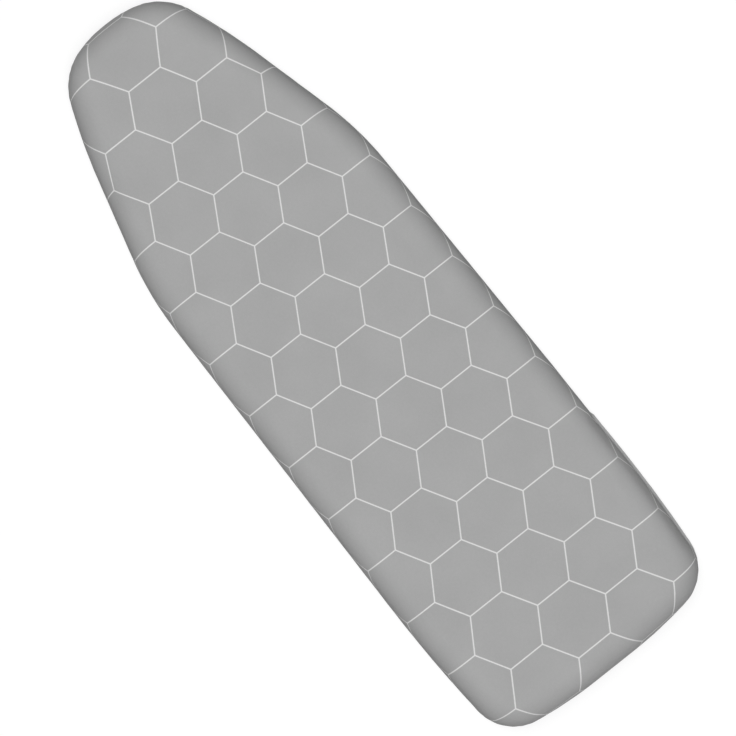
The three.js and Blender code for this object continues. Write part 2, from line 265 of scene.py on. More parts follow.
# Each drift is a number of waves round the cover, a swing and a start, in radians.
DRIFTS = ((13, 1.3, 1.1), (29, 0.8, 2.3))
UNEVEN_WAVES = 19
UNEVEN_START = 0.4
UNEVEN_SHARE = 0.22


def smooth(low, high, value):
    t = np.clip((value - low) / (high - low), 0, 1)
    return t * t * (3 - 2 * t)


joint_places = [joint["pos_m"] for joint in frame["record"]["behaviour"]["joints"]]
STATIONS = sorted({round(place[0], 5) for place in joint_places})
share_round = np.arange(ROUND) / ROUND
waves = round(ROUND / WAVE_SAMPLES)
PHASE = 2 * math.pi * waves * share_round
for count, swing, start in DRIFTS:
    PHASE = PHASE + swing * np.sin(2 * math.pi * count * share_round + start)
uneven = UNEVEN_SHARE * np.sin(2 * math.pi * UNEVEN_WAVES * share_round + UNEVEN_START)
CLAMPED = np.prod([smooth(*CLAMP, np.abs(ring(HEM_INSET)[0][:, 0] - x)) for x in STATIONS], axis=0)
LIVELY = (SIDE_LIVELINESS + (1 - SIDE_LIVELINESS) * FULLNESS) * (1 - UNEVEN_SHARE + uneven) * CLAMPED
print("gathers:", waves, "clip stations:", STATIONS)

# %% [markdown]
# ## From rows of points to a piece
# A cloth is two parallel surfaces with a rim between them. A plane with a Solidify modifier could make
# both, but then the lower side could not be shaped by itself. The helpers below join rows of points into
# quads, close the flat middle with triangles, and turn the result into an object that rides on a body of
# the part. The flat middle is filled once, by a Delaunay triangulation, and shared by all three layers.

# %% Fill of the flat middle
FILL_STEP = 0.008
FILL_MARGIN = 0.005
FILL_MERGE = 1e-7


def flat_fill():
    """Points inside the face's edge, their distances to it, and triangles over the edge's ring and them."""
    low, high = FACE_EDGE.min(axis=0), FACE_EDGE.max(axis=0)
    rise = FILL_STEP * math.sqrt(3) / 2
    rows = []
    for r, y in enumerate(np.arange(low[1], high[1], rise)):
        xs = np.arange(low[0] + (r % 2) * FILL_STEP / 2, high[0], FILL_STEP)
        rows.append(np.column_stack((xs, np.full(len(xs), y))))
    points = np.vstack(rows)
    gaps = np.linalg.norm(points[:, None] - FACE_EDGE[None, ::2], axis=2)
    nearest = gaps.argmin(axis=1)
    offset = points - FACE_EDGE[::2][nearest]
    depth = (offset * FACE_INWARD[::2][nearest]).sum(axis=1)
    distance = gaps.min(axis=1)
    inside = (depth > FILL_MARGIN) & (distance > FILL_MARGIN)
    inner = points[inside]
    everything = [Vector(p) for p in np.vstack((FACE_EDGE, inner))]
    edges = [(i, (i + 1) % ROUND) for i in range(ROUND)]
    result = geometry.delaunay_2d_cdt(everything, edges, [], 1, FILL_MERGE)
    order = [originals[0] for originals in result[3]]
    triangles = [tuple(order[i] for i in face) for face in result[2]]
    return inner, distance[inside], triangles


FILL_POINTS, FILL_DISTANCES, FILL_TRIANGLES = flat_fill()
print("flat middle:", len(FILL_POINTS), "points", len(FILL_TRIANGLES), "triangles")


# %% Join rows into faces
def grid_quads(first, rows, columns, closed=True):
    """Quads over rows of columns points each, numbered from first."""
    quads = []
    for r in range(rows - 1):
        for i in range(columns if closed else columns - 1):
            j = (i + 1) % columns
            a, b = first + r * columns, first + (r + 1) * columns
            quads.append((a + i, b + i, b + j, a + j))
    return quads


def strip_quads(one, other, closed=True):
    """Quads between two lists of point numbers of the same length."""
    count = len(one)
    last = count if closed else count - 1
    return [(one[i], other[i], other[(i + 1) % count], one[(i + 1) % count]) for i in range(last)]


def capped_tube(rows, columns):
    """Faces of a closed tube, with a flat cap on each end."""
    last = (rows - 1) * columns
    return grid_quads(0, rows, columns) + [tuple(range(columns)), tuple(range(last, last + columns))]


# %% Make an object of them
CREASE_ANGLE = 50


def new_mesh(name, vertices, faces):
    mesh = bpy.data.meshes.new(name)
    mesh.from_pydata([tuple(v) for v in np.asarray(vertices, float)], [], faces)
    work = bmesh.new()
    work.from_mesh(mesh)
    bmesh.ops.recalc_face_normals(work, faces=work.faces)
    work.to_mesh(mesh)
    work.free()
    return mesh


def new_object(name, data):
    made = bpy.data.objects.new(name, data)
    bpy.context.scene.collection.objects.link(made)
    return made


def new_piece(name, mesh, materials, replaced=(), body="cover", crease=CREASE_ANGLE):
    """Makes a piece of a mesh that rides on a body, and hides the solids that it stands for."""
    piece = new_object(name, mesh)
    for material in materials:
        mesh.materials.append(material)
    mesh.shade_smooth()
    mesh.set_sharp_from_angle(angle=math.radians(crease))
    if body:
        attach(piece, body)
    for node in replaced:
        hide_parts(node)
    return piece


def lay_flat(mesh, name, places):
    """Gives a mesh a UV map from one flat place for each vertex."""
    corner_vertex = np.zeros(len(mesh.loops), int)
    mesh.loops.foreach_get("vertex_index", corner_vertex)
    layer = mesh.uv_layers.new(name=name)
    layer.data.foreach_set("uv", np.asarray(places, np.float32)[corner_vertex].ravel())


# %% [markdown]
# ## Materials: a few helpers
# Each material is a small graph of nodes. It could be built by hand in the shader editor, but a script
# rebuilds it the same each time. The helpers only save typing: one adds a node and sets or links its
# inputs, one adds a group, and one dresses a Principled BSDF. A value that is the same all over a surface
# is set on the shader's own socket.

# %% Node helpers
def feed(tree, socket, value):
    """Links a value that comes from a node, and sets any other."""
    if isinstance(value, bpy.types.NodeSocket):
        tree.links.new(value, socket)
    else:
        socket.default_value = value


def add(tree, kind, inputs=(), output=0, **settings):
    """Adds a node, fills its inputs with values or links, and returns one of its outputs."""
    made = tree.nodes.new(kind)
    for name, value in settings.items():
        setattr(made, name, value)
    pairs = inputs.items() if isinstance(inputs, dict) else enumerate(inputs)
    for key, value in pairs:
        feed(tree, made.inputs[key], value)
    return made.outputs[output]


def maths(tree, operation, *values):
    return add(tree, "ShaderNodeMath", values, operation=operation)


def vectors(tree, operation, *values, output=0):
    return add(tree, "ShaderNodeVectorMath", values, output=output, operation=operation)


def scaled(tree, vector, scale):
    return add(tree, "ShaderNodeVectorMath", {0: vector, "Scale": scale}, operation="SCALE")


def weighed(tree, first, first_weight, second, second_weight):
    """The sum of two values, each times its weight."""
    one = maths(tree, "MULTIPLY", first, first_weight)
    other = maths(tree, "MULTIPLY", second, second_weight)
    return maths(tree, "ADD", one, other)


def ranged(tree, value, low, high, to_low, to_high, smooth_step=False):
    interpolation = "SMOOTHSTEP" if smooth_step else "LINEAR"
    inputs = (value, low, high, to_low, to_high)
    return add(tree, "ShaderNodeMapRange", inputs, interpolation_type=interpolation)


# %% Colour helpers
# Most of a tone lies between these two values.
TONES = (0.2, 0.8)


def blend_colours(tree, share, first, second, mode="MIX"):
    made = tree.nodes.new("ShaderNodeMix")
    made.data_type = "RGBA"
    made.blend_type = mode
    feed(tree, made.inputs[0], share)
    for key, colour in ((6, first), (7, second)):
        linked = isinstance(colour, bpy.types.NodeSocket)
        feed(tree, made.inputs[key], colour if linked else (*colour, 1))
    return made.outputs[2]


def toned(tree, colour, tone, dark, pale):
    """A colour that a tone makes darker and paler, by these factors. The weave's tone is partly painted
    shade between the threads and partly random slubs.
    """
    shade = ranged(tree, tone, *TONES, dark, pale)
    thread = add(tree, "ShaderNodeCombineXYZ", (shade, shade, shade))
    return blend_colours(tree, 1.0, colour, thread, mode="MULTIPLY")


# %% Group and material helpers
def new_group(name, sizes, outputs):
    """A shader node group that takes a place and named sizes, and puts out named values. Gives back its
    tree, its inputs and its output node."""
    tree = bpy.data.node_groups.new(name, "ShaderNodeTree")
    tree.interface.new_socket(name="Place", in_out="INPUT", socket_type="NodeSocketVector")
    for label, value in sizes.items():
        socket = tree.interface.new_socket(name=label, in_out="INPUT", socket_type="NodeSocketFloat")
        socket.default_value = value
    for label in outputs:
        tree.interface.new_socket(name=label, in_out="OUTPUT", socket_type="NodeSocketFloat")
    entry = tree.nodes.new("NodeGroupInput")
    leave = tree.nodes.new("NodeGroupOutput")
    return tree, entry.outputs, leave


def finish_group(tree, leave, **results):
    for label, socket in results.items():
        tree.links.new(socket, leave.inputs[label])
    return tree


def use_group(tree, group, **inputs):
    made = tree.nodes.new("ShaderNodeGroup")
    made.node_tree = group
    for label, value in inputs.items():
        feed(tree, made.inputs[label.replace("_", " ")], value)
    return made.outputs


def new_material(name, **constants):
    """A material with a Principled BSDF, and the constants set on the shader's own sockets."""
    material = bpy.data.materials.new(name)
    material.use_nodes = True
    shader = material.node_tree.nodes["Principled BSDF"]
    for label, value in constants.items():
        shader.inputs[label.replace("_", " ")].default_value = value
    return material, material.node_tree, shader


def dress(tree, shader, colour, rough, height, strength, distance):
    """Links a colour, a roughness and a bump of some strength and distance to the shader."""
    tree.links.new(colour, shader.inputs["Base Color"])
    tree.links.new(rough, shader.inputs["Roughness"])
    made = tree.nodes.new("ShaderNodeBump")
    made.inputs["Strength"].default_value = strength
    made.inputs["Distance"].default_value = distance
    tree.links.new(height, made.inputs["Height"])
    tree.links.new(made.outputs["Normal"], shader.inputs["Normal"])


def cloth_place(tree):
    """The place on the flat cloth, in metres, from the piece's own UV map."""
    return add(tree, "ShaderNodeUVMap", uv_map="flat_cloth")


def body_place(tree):
    """The place in the piece's own space, in metres."""
    return add(tree, "ShaderNodeTexCoord", output="Object")


# %% [markdown]
# ## Shared effects
# The finishes of a cover come from a few effects: the plain weave of cotton and tape, the printed
# honeycomb that also shows through on the wrong side, loose fibres, the ribs of woven elastic, and the
# marks on drawn or pressed steel. Image textures could give them, but they would blur close up. Each is a
# group of nodes that puts out only heights, tones and masks, so that every material can colour them in
# its own way and at its own scale.

# %% Plain weave
def weave_group():
    """Warp and weft that pass over each other in turn, with threads that drift. The tone is half random
    slubs and half painted shade: darker between the threads, paler on their crowns.
    """
    sizes = {"Thread": 0.0005, "Unevenness": 0.3}
    tree, given, leave = new_group("plain_weave", sizes, ("Height", "Tone"))
    count = maths(tree, "DIVIDE", 1.0, given["Thread"])
    place = scaled(tree, given["Place"], count)
    drift = add(tree, "ShaderNodeTexNoise", {"Vector": place, "Scale": 0.23, "Detail": 2.0}, output="Color")
    drift = vectors(tree, "SUBTRACT", drift, (0.5, 0.5, 0.5))
    place = vectors(tree, "ADD", place, scaled(tree, drift, given["Unevenness"]))
    arch = vectors(tree, "SINE", vectors(tree, "MULTIPLY", place, (math.pi,) * 3))
    arch = add(tree, "ShaderNodeSeparateXYZ", (vectors(tree, "ABSOLUTE", arch),)).node.outputs
    cell = add(tree, "ShaderNodeSeparateXYZ", (vectors(tree, "FLOOR", place),)).node.outputs
    over = maths(tree, "PINGPONG", maths(tree, "ADD", cell["X"], cell["Y"]), 1.0)
    height = add(tree, "ShaderNodeMix", {0: over, 2: arch["X"], 3: arch["Y"]})
    slub = add(tree, "ShaderNodeTexNoise", {"Vector": place, "Scale": 0.11, "Detail": 3.0, "Roughness": 0.7})
    # Half the tone is the height, as painted shade between the threads, and half is random slubs.
    tone = weighed(tree, height, 0.5, slub, 0.5)
    return finish_group(tree, leave, Height=height, Tone=tone)


WEAVE = weave_group()

# %% [markdown]
# A honeycomb repeats on a tile that is √3 times as long as wide, with a hexagon in its middle and a quarter
# of one in each corner. Wrapping the place twice, half a tile apart, finds the nearer hexagon's centre, and
# the distance to its nearest side gives the line.

# %% Honeycomb lines
INK_BLEED = 0.0005
INK_SOFTNESS = 0.14


def honeycomb_group():
    """A mask of thin lines along the sides of hexagons, two of which run straight across the cloth."""
    sizes = {"Across flats": 0.1, "Line": 0.003}
    tree, given, leave = new_group("honeycomb_lines", sizes, ("Line",))
    wide = given["Across flats"]
    long = maths(tree, "MULTIPLY", wide, math.sqrt(3))
    tile = add(tree, "ShaderNodeCombineXYZ", (wide, long, 1.0))
    half = scaled(tree, tile, 0.5)
    back = scaled(tree, tile, -0.5)
    here = vectors(tree, "WRAP", given["Place"], half, back)
    offset = vectors(tree, "MULTIPLY", tile, (0.5, 0.5, 0.0))
    there = vectors(tree, "WRAP", vectors(tree, "ADD", given["Place"], offset), half, back)
    gaps = [vectors(tree, "LENGTH", place, output=1) for place in (here, there)]
    nearer = maths(tree, "LESS_THAN", *gaps)
    choice = add(tree, "ShaderNodeMix", {0: nearer, 4: there, 5: here}, output=1, data_type="VECTOR")
    away = vectors(tree, "ABSOLUTE", choice)
    flat = vectors(tree, "DOT_PRODUCT", away, (1.0, 0.0, 0.0), output=1)
    slant = vectors(tree, "DOT_PRODUCT", away, (0.5, math.sqrt(3) / 2, 0.0), output=1)
    reach = maths(tree, "MULTIPLY", wide, 0.5)
    to_edge = maths(tree, "SUBTRACT", reach, maths(tree, "MAXIMUM", flat, slant))
    blot = add(tree, "ShaderNodeTexNoise", {"Vector": given["Place"], "Scale": 900.0, "Detail": 2.0})
    bleed = maths(tree, "MULTIPLY", maths(tree, "SUBTRACT", blot, 0.5), INK_BLEED)
    to_edge = maths(tree, "ADD", to_edge, bleed)
    half_line = maths(tree, "MULTIPLY", given["Line"], 0.5)
    soft = maths(tree, "MULTIPLY", given["Line"], INK_SOFTNESS)
    full, none = (maths(tree, way, half_line, soft) for way in ("SUBTRACT", "ADD"))
    line = ranged(tree, to_edge, full, none, 1.0, 0.0, smooth_step=True)
    return finish_group(tree, leave, Line=line)


HONEYCOMB = honeycomb_group()


# %% Fibres and ribs
def fibre_group():
    """Short crossing fibres over soft clouds, for felt, foam and the fuzz on cloth, elastic and thread."""
    sizes = {"Fibre": 0.0004, "Cloud": 0.02}
    tree, given, leave = new_group("loose_fibres", sizes, ("Height", "Tone", "Cloud"))
    fine = maths(tree, "DIVIDE", 1.0, given["Fibre"])
    lying = []
    for stretch in ((1.0, 0.16, 1.0), (0.16, 1.0, 1.0), (0.7, 0.7, 0.2)):
        place = vectors(tree, "MULTIPLY", given["Place"], stretch)
        noise = {"Vector": place, "Scale": fine, "Detail": 3.0, "Roughness": 0.6, "Distortion": 0.5}
        lying.append(add(tree, "ShaderNodeTexNoise", noise))
    height = maths(tree, "MAXIMUM", lying[0], lying[1])
    height = maths(tree, "MAXIMUM", height, lying[2])
    tone = maths(tree, "MULTIPLY", maths(tree, "ADD", lying[0], lying[1]), 0.5)
    wide = maths(tree, "DIVIDE", 1.0, given["Cloud"])
    cloud = add(tree, "ShaderNodeTexNoise", {"Vector": given["Place"], "Scale": wide, "Detail": 4.0})
    return finish_group(tree, leave, Height=height, Tone=tone, Cloud=cloud)


def rib_group():
    """Long ribs of woven elastic with fine cross threads. Y of the flat place runs across the ribs. The
    tone is mostly painted shade between the ribs and threads, with some random wear.
    """
    tree, given, leave = new_group("woven_ribs", {"Rib": 0.0014, "Pick": 0.0006}, ("Height", "Tone"))
    parts = add(tree, "ShaderNodeSeparateXYZ", (given["Place"],)).node.outputs
    across = maths(tree, "DIVIDE", parts["Y"], given["Rib"])
    along = maths(tree, "DIVIDE", parts["X"], given["Pick"])
    odd = maths(tree, "PINGPONG", maths(tree, "FLOOR", across), 1.0)
    along = maths(tree, "ADD", along, maths(tree, "MULTIPLY", odd, 0.5))
    rib, pick = (
        maths(tree, "ABSOLUTE", maths(tree, "SINE", maths(tree, "MULTIPLY", way, math.pi)))
        for way in (across, along)
    )
    height = weighed(tree, rib, 0.65, pick, 0.35)
    wear = add(tree, "ShaderNodeTexNoise", {"Vector": given["Place"], "Scale": 300.0, "Detail": 3.0})
    # The tone is mostly the height, as painted shade between the ribs and threads, with some random wear.
    return finish_group(tree, leave, Height=height, Tone=weighed(tree, height, 0.7, wear, 0.3))


FIBRES = fibre_group()
RIBS = rib_group()


# %% Marks on steel
def steel_group():
    """Fine streaks from rolling or drawing, and wide smudges where fingers and tape rub."""
    sizes = {"Streak": 0.0003, "Smudge": 0.006}
    tree, given, leave = new_group("worked_steel", sizes, ("Streaks", "Smudges", "Height"))
    drawn = vectors(tree, "MULTIPLY", given["Place"], (1.0, 0.04, 1.0))
    fine = maths(tree, "DIVIDE", 1.0, given["Streak"])
    streaks = add(tree, "ShaderNodeTexNoise", {"Vector": drawn, "Scale": fine, "Detail": 2.0})
    wide = maths(tree, "DIVIDE", 1.0, given["Smudge"])
    smudge = {"Vector": given["Place"], "Scale": wide, "Detail": 5.0, "Roughness": 0.6}
    smudges = add(tree, "ShaderNodeTexNoise", smudge)
    grain = maths(tree, "MULTIPLY", maths(tree, "ADD", streaks, smudges), 0.5)
    return finish_group(tree, leave, Streaks=streaks, Smudges=smudges, Height=grain)


STEEL = steel_group()
print("shared effects:", sorted(group.name for group in bpy.data.node_groups))

# %% [markdown]
# ## The printed cotton
# The face is a mid grey cotton with a pale hexagon line print. The lines could be modelled or painted, but
# on the real cover they are ink on flat cloth. So they are drawn from the cloth's own UV map, and bend over
# the edge with it. The thread's tone makes both colours a little darker and paler, partly as random slubs
# and partly as painted shade, darker between the threads and paler on their crowns. The wrong side is
# paler, because the grey is printed on the right side only.

# %% Cotton, right side and wrong side
FACE_GREY = (0.396, 0.396, 0.396)
GREY_CLOUDS = (0.975, 1.025)
LINE_PALE = (0.715, 0.715, 0.712)
LINE_WIDTH = 0.0020
HEX_ACROSS = 0.09769
THREAD = 0.00046
THREAD_UNEVENNESS = 0.35
REVERSE_GREY = (0.50, 0.50, 0.50)
REVERSE_LINE = (0.68, 0.68, 0.67)
SHOW_THROUGH = 0.35


def cotton_base(tree, place):
    """The weave and the honeycomb, the same on both sides of the cloth."""
    weave = use_group(tree, WEAVE, Place=place, Thread=THREAD, Unevenness=THREAD_UNEVENNESS)
    lines = use_group(tree, HONEYCOMB, Place=place, Across_flats=HEX_ACROSS, Line=LINE_WIDTH)
    return weave, lines["Line"]


def printed_cotton():
    material, tree, shader = new_material("printed_cotton", Specular_IOR_Level=0.08,
                                          Sheen_Weight=0.03, Sheen_Roughness=0.5)
    place = cloth_place(tree)
    weave, line = cotton_base(tree, place)
    fibres = use_group(tree, FIBRES, Place=place, Fibre=0.0011, Cloud=0.09)
    bare = add(tree, "ShaderNodeAttribute", output="Fac", attribute_name="bare_of_print")
    line = maths(tree, "MULTIPLY", line, maths(tree, "SUBTRACT", 1.0, bare))
    greys = [[tint * part for part in FACE_GREY] for tint in GREY_CLOUDS]
    ground = blend_colours(tree, ranged(tree, fibres["Cloud"], 0.35, 0.65, 0.0, 1.0), *greys)
    colour = blend_colours(tree, line, ground, LINE_PALE)
    # Painted shade: the weave's tone darkens the colour between the threads, besides its random slubs.
    colour = toned(tree, colour, weave["Tone"], dark=0.93, pale=1.06)
    rough = ranged(tree, line, 0.0, 1.0, 0.93, 0.82)
    height = maths(tree, "ADD", weave["Height"], maths(tree, "MULTIPLY", fibres["Height"], 0.5))
    dress(tree, shader, colour, rough, height, strength=0.35, distance=0.00008)
    return material


def cotton_reverse():
    material, tree, shader = new_material("cotton_reverse", Specular_IOR_Level=0.08)
    weave, line = cotton_base(tree, cloth_place(tree))
    through = maths(tree, "MULTIPLY", line, SHOW_THROUGH)
    colour = blend_colours(tree, through, REVERSE_GREY, REVERSE_LINE)
    # Painted shade: the weave's tone darkens the colour between the threads, besides its random slubs.
    colour = toned(tree, colour, weave["Tone"], dark=0.9, pale=1.06)
    rough = ranged(tree, weave["Tone"], *TONES, 0.86, 0.96)
    dress(tree, shader, colour, rough, weave["Height"], strength=0.4, distance=0.0001)
    return material


# %% [markdown]
# ## Padding, tape, elastic and thread
# The other soft finishes are plainer. Foam shows its open cells, with painted shade in their pits, felt its
# crossing fibres and a few darker ones, tape a close weave, and elastic its long ribs. Tape and elastic are
# painted darker between their threads and ribs, as shade. One soft material with other colours could serve
# for all, but close up each is known by its own structure, so each has its own, with its scale in metres.

# %% Foam
CELLS_PER_METRE = 1300.0
FOAM_PIT_SHADE = (0.52, 0.47, 0.36)
FOAM_CREAM = (0.80, 0.76, 0.66)
FOAM_AGED = (0.74, 0.66, 0.48)


def foam_material():
    material, tree, shader = new_material("open_cell_foam", Specular_IOR_Level=0.2)
    place = body_place(tree)
    cells = add(tree, "ShaderNodeTexVoronoi", {"Vector": place, "Scale": CELLS_PER_METRE})
    fibres = use_group(tree, FIBRES, Place=place, Fibre=0.002, Cloud=0.05)
    # The pits of the cells are darker in colour, as painted shade in the recesses; they also give the bump.
    pits = ranged(tree, cells, 0.05, 0.6, 0.0, 1.0, smooth_step=True)
    colour = blend_colours(tree, pits, FOAM_PIT_SHADE, FOAM_CREAM)
    colour = blend_colours(tree, maths(tree, "MULTIPLY", fibres["Cloud"], 0.4), colour, FOAM_AGED)
    rough = ranged(tree, fibres["Tone"], *TONES, 0.9, 1.0)
    dress(tree, shader, colour, rough, pits, strength=0.7, distance=0.0004)
    return material


# %% Felt
NEEDLES_PER_METRE = 420.0
FELT_DARK = (0.50, 0.48, 0.44)
FELT_PALE = (0.74, 0.72, 0.67)
FELT_CLOUD = (0.58, 0.56, 0.53)
FELT_FLECK = (0.30, 0.30, 0.31)


def felt_material():
    material, tree, shader = new_material("needled_felt", Specular_IOR_Level=0.15, Sheen_Weight=0.15,
                                          Sheen_Roughness=0.6)
    place = body_place(tree)
    fine = use_group(tree, FIBRES, Place=place, Fibre=0.0006, Cloud=0.035)
    coarse = use_group(tree, FIBRES, Place=place, Fibre=0.0018, Cloud=0.0075)
    colour = blend_colours(tree, ranged(tree, fine["Tone"], 0.32, 0.66, 0.0, 1.0), FELT_DARK, FELT_PALE)
    colour = blend_colours(tree, ranged(tree, fine["Cloud"], 0.3, 0.7, 0.0, 0.35), colour, FELT_CLOUD)
    flecks = ranged(tree, coarse["Height"], 0.70, 0.78, 0.0, 0.55, smooth_step=True)
    colour = blend_colours(tree, flecks, colour, FELT_FLECK)
    punched = add(tree, "ShaderNodeTexVoronoi", {"Vector": place, "Scale": NEEDLES_PER_METRE})
    dimples = ranged(tree, punched, 0.0, 0.35, 0.0, 1.0, smooth_step=True)
    height = weighed(tree, fine["Height"], 1.2, dimples, 0.5)
    rough = ranged(tree, fine["Tone"], *TONES, 0.92, 1.0)
    dress(tree, shader, colour, rough, height, strength=0.6, distance=0.0003)
    return material


# %% Tape
TAPE_DARK = (0.195, 0.195, 0.20)
TAPE_PALE = (0.33, 0.33, 0.335)
TAPE_WORN = (0.29, 0.29, 0.30)


def tape_material():
    material, tree, shader = new_material("cotton_tape", Specular_IOR_Level=0.1)
    place = cloth_place(tree)
    weave = use_group(tree, WEAVE, Place=place, Thread=0.00055, Unevenness=0.25)
    fibres = use_group(tree, FIBRES, Place=place, Fibre=0.0009, Cloud=0.03)
    # Painted shade: the weave's tone darkens the tape between its threads, besides random slubs.
    colour = blend_colours(tree, weave["Tone"], TAPE_DARK, TAPE_PALE)
    colour = blend_colours(tree, maths(tree, "MULTIPLY", fibres["Cloud"], 0.3), colour, TAPE_WORN)
    height = maths(tree, "ADD", weave["Height"], maths(tree, "MULTIPLY", fibres["Height"], 0.4))
    rough = ranged(tree, weave["Tone"], *TONES, 0.84, 0.95)
    dress(tree, shader, colour, rough, height, strength=0.6, distance=0.00014)
    return material


# %% Elastic
ELASTIC_DARK = (0.56, 0.56, 0.53)
ELASTIC_PALE = (0.84, 0.84, 0.81)
ELASTIC_WORN = (0.72, 0.72, 0.69)


def elastic_material():
    material, tree, shader = new_material("woven_elastic", Specular_IOR_Level=0.3)
    place = cloth_place(tree)
    ribs = use_group(tree, RIBS, Place=place, Rib=0.0015, Pick=0.0007)
    fibres = use_group(tree, FIBRES, Place=place, Fibre=0.0008, Cloud=0.02)
    # Painted shade: the ribs' tone darkens the elastic between its ribs, besides random wear.
    colour = blend_colours(tree, ribs["Tone"], ELASTIC_DARK, ELASTIC_PALE)
    colour = blend_colours(tree, maths(tree, "MULTIPLY", fibres["Cloud"], 0.25), colour, ELASTIC_WORN)
    rough = ranged(tree, fibres["Tone"], *TONES, 0.78, 0.94)
    dress(tree, shader, colour, rough, ribs["Height"], strength=0.7, distance=0.00022)
    return material


# %% Sewing thread
STRAND_DARK = (0.40, 0.40, 0.40)
STRAND_PALE = (0.66, 0.66, 0.66)


def thread_material():
    material, tree, shader = new_material("sewing_thread", Specular_IOR_Level=0.4)
    fibres = use_group(tree, FIBRES, Place=body_place(tree), Fibre=0.0004, Cloud=0.01)
    colour = blend_colours(tree, fibres["Tone"], STRAND_DARK, STRAND_PALE)
    rough = ranged(tree, fibres["Tone"], *TONES, 0.6, 0.85)
    dress(tree, shader, colour, rough, fibres["Height"], strength=0.5, distance=0.00008)
    return material


# %% [markdown]
# ## Steel
# The clips are pressed from bright plated strip, and their springs are drawn wire. A plain metal of one
# gloss would look like a mirror or like plastic. Real steel has streaks in the direction of working, and
# smudges that change the gloss, so no face reflects evenly.

# %% Plated strip and drawn wire
def steel_material(name, dark, bright, rough, streak, smudge):
    material, tree, shader = new_material(name, Metallic=1.0)
    marks = use_group(tree, STEEL, Place=body_place(tree), Streak=streak, Smudge=smudge)
    colour = blend_colours(tree, marks["Streaks"], dark, bright)
    gloss = ranged(tree, marks["Smudges"], 0.3, 0.7, *rough)
    dress(tree, shader, colour, gloss, marks["Height"], strength=0.25, distance=0.00003)
    return material


PRINTED = printed_cotton()
REVERSE = cotton_reverse()
FOAM_SKIN = foam_material()
FELT_SKIN = felt_material()
TAPE_WEAVE = tape_material()
ELASTIC = elastic_material()
SEWING_THREAD = thread_material()
PLATED = steel_material("plated_strip", dark=(0.44, 0.45, 0.46), bright=(0.62, 0.63, 0.64),
                        rough=(0.24, 0.46), streak=0.00025, smudge=0.005)
WIRE = steel_material("drawn_wire", dark=(0.30, 0.31, 0.33), bright=(0.46, 0.47, 0.49),
                      rough=(0.26, 0.44), streak=0.00015, smudge=0.002)
print("materials:", sorted(material.name for material in bpy.data.materials))

# %% [markdown]
# ## Layers round the edge
# On the real cover all three layers bend over the board's edge together. They could be made by moving one
# surface out along its normals, but arcs about one centre, each with its own radius, keep the layers at
# their exact depths. The cloth alone goes on, round the small turn, under the board and into the hem, with
# a smooth rise on the way.

# %% Way of each layer, from the face's edge outwards
# The turns are degrees round the edge, closer together where the ledge of the tuck will lie. The rise to
# the hem begins RISE_LEAD before FOOT_END.
SHOULDER_TURNS = (*range(0, 80, 5), *np.arange(80, 86, 0.5), 86, 87.5, 90)
TURN_STEPS = 5
SKIRT_STEPS = 20
RISE_LEAD = 0.006


def shoulder_way(depth, last_turn=90):
    """Insets and heights down the quarter round, at depth below the face."""
    turn = np.radians([turn for turn in SHOULDER_TURNS if turn < last_turn] + [last_turn])
    radius = SHOULDER_RADIUS - depth
    arc = np.column_stack((SHOULDER_RADIUS - radius * np.sin(turn), TURN_RADIUS + radius * np.cos(turn)))
    return np.vstack(((FLAT_INSET, HEIGHT - depth), arc))


def cloth_way(depth):
    """Insets and heights of the whole cloth, at depth below its right side, to its edge in the hem."""
    turn = np.radians(np.linspace(90, 180, TURN_STEPS + 1))[1:]
    radius = TURN_RADIUS - depth
    under = np.column_stack((TURN_RADIUS - radius * np.sin(turn), TURN_RADIUS + radius * np.cos(turn)))
    insets = np.linspace(TURN_RADIUS, SKIRT_DEPTH, SKIRT_STEPS + 1)[1:]
    rise = (HEM_RISE - CLOTH / 2) * smooth(FOOT_END - RISE_LEAD, HEM_INSET, insets)
    return np.vstack((shoulder_way(depth), under, np.column_stack((insets, depth + rise))))


def lengths_along(way):
    return np.concatenate(([0.0], np.cumsum(np.linalg.norm(np.diff(way, axis=0), axis=1))))


print("from the flat middle to the cut edge:", round(float(lengths_along(cloth_way(0.0))[-1]), 4))

# %% [markdown]
# The gathers are added to these ways. Under the board they lift the cloth, in the hem they leave a ripple,
# and low on the outer wall they pucker it by half a millimetre. Above that the cloth is stretched smooth.

# %% Gathered rows
# The pairs are where an effect begins and where it is full: insets for the gathers and for the ripple of
# the hem, and heights on the wall for the puckers.
GATHER_HEIGHT = 0.0054
HEM_RIPPLE = 0.0017
PUCKER = 0.0005
GATHER_INSETS = (0.007, 0.017)
HEM_INSETS = (0.034, 0.042)
PUCKER_HEIGHTS = (0.020, 0.006)
PUCKER_REACH = 0.008


def gathered(insets, heights):
    """Rows of points for a way of insets and heights, lifted and puckered by the gathers."""
    rows = []
    beat = 0.5 + 0.5 * np.sin(PHASE)
    for inset, height in zip(insets, heights):
        places, inward = ring(inset)
        in_hem = smooth(*HEM_INSETS, inset)
        under = smooth(*GATHER_INSETS, inset) * (1 - in_hem)
        low = float(height < 0.5 * HEIGHT)
        lift = low * LIVELY * (GATHER_HEIGHT * under * beat + HEM_RIPPLE * in_hem * np.sin(PHASE))
        wall = low * PUCKER * smooth(*PUCKER_HEIGHTS, height) * (1 - smooth(0.0, PUCKER_REACH, inset))
        places = places - inward * (LIVELY * wall * beat)[:, None]
        rows.append(np.column_stack((places, height + lift)))
    return np.array(rows)


# %% [markdown]
# ## The printed face
# The face is one sheet of cloth, 0.6 mm thick, from the flat middle to its cut edge in the hem. It could be
# a plane draped over the foam, but on a board it is stretched, so its form is known: the flat middle with a
# very slight unevenness, and the rows of the way round the edge. One tuck of slack cloth lies low on the
# right side towards the heel, where the photograph shows a small step in the edge. No printed line crosses
# its ledge there, so the ledge is kept bare of print.

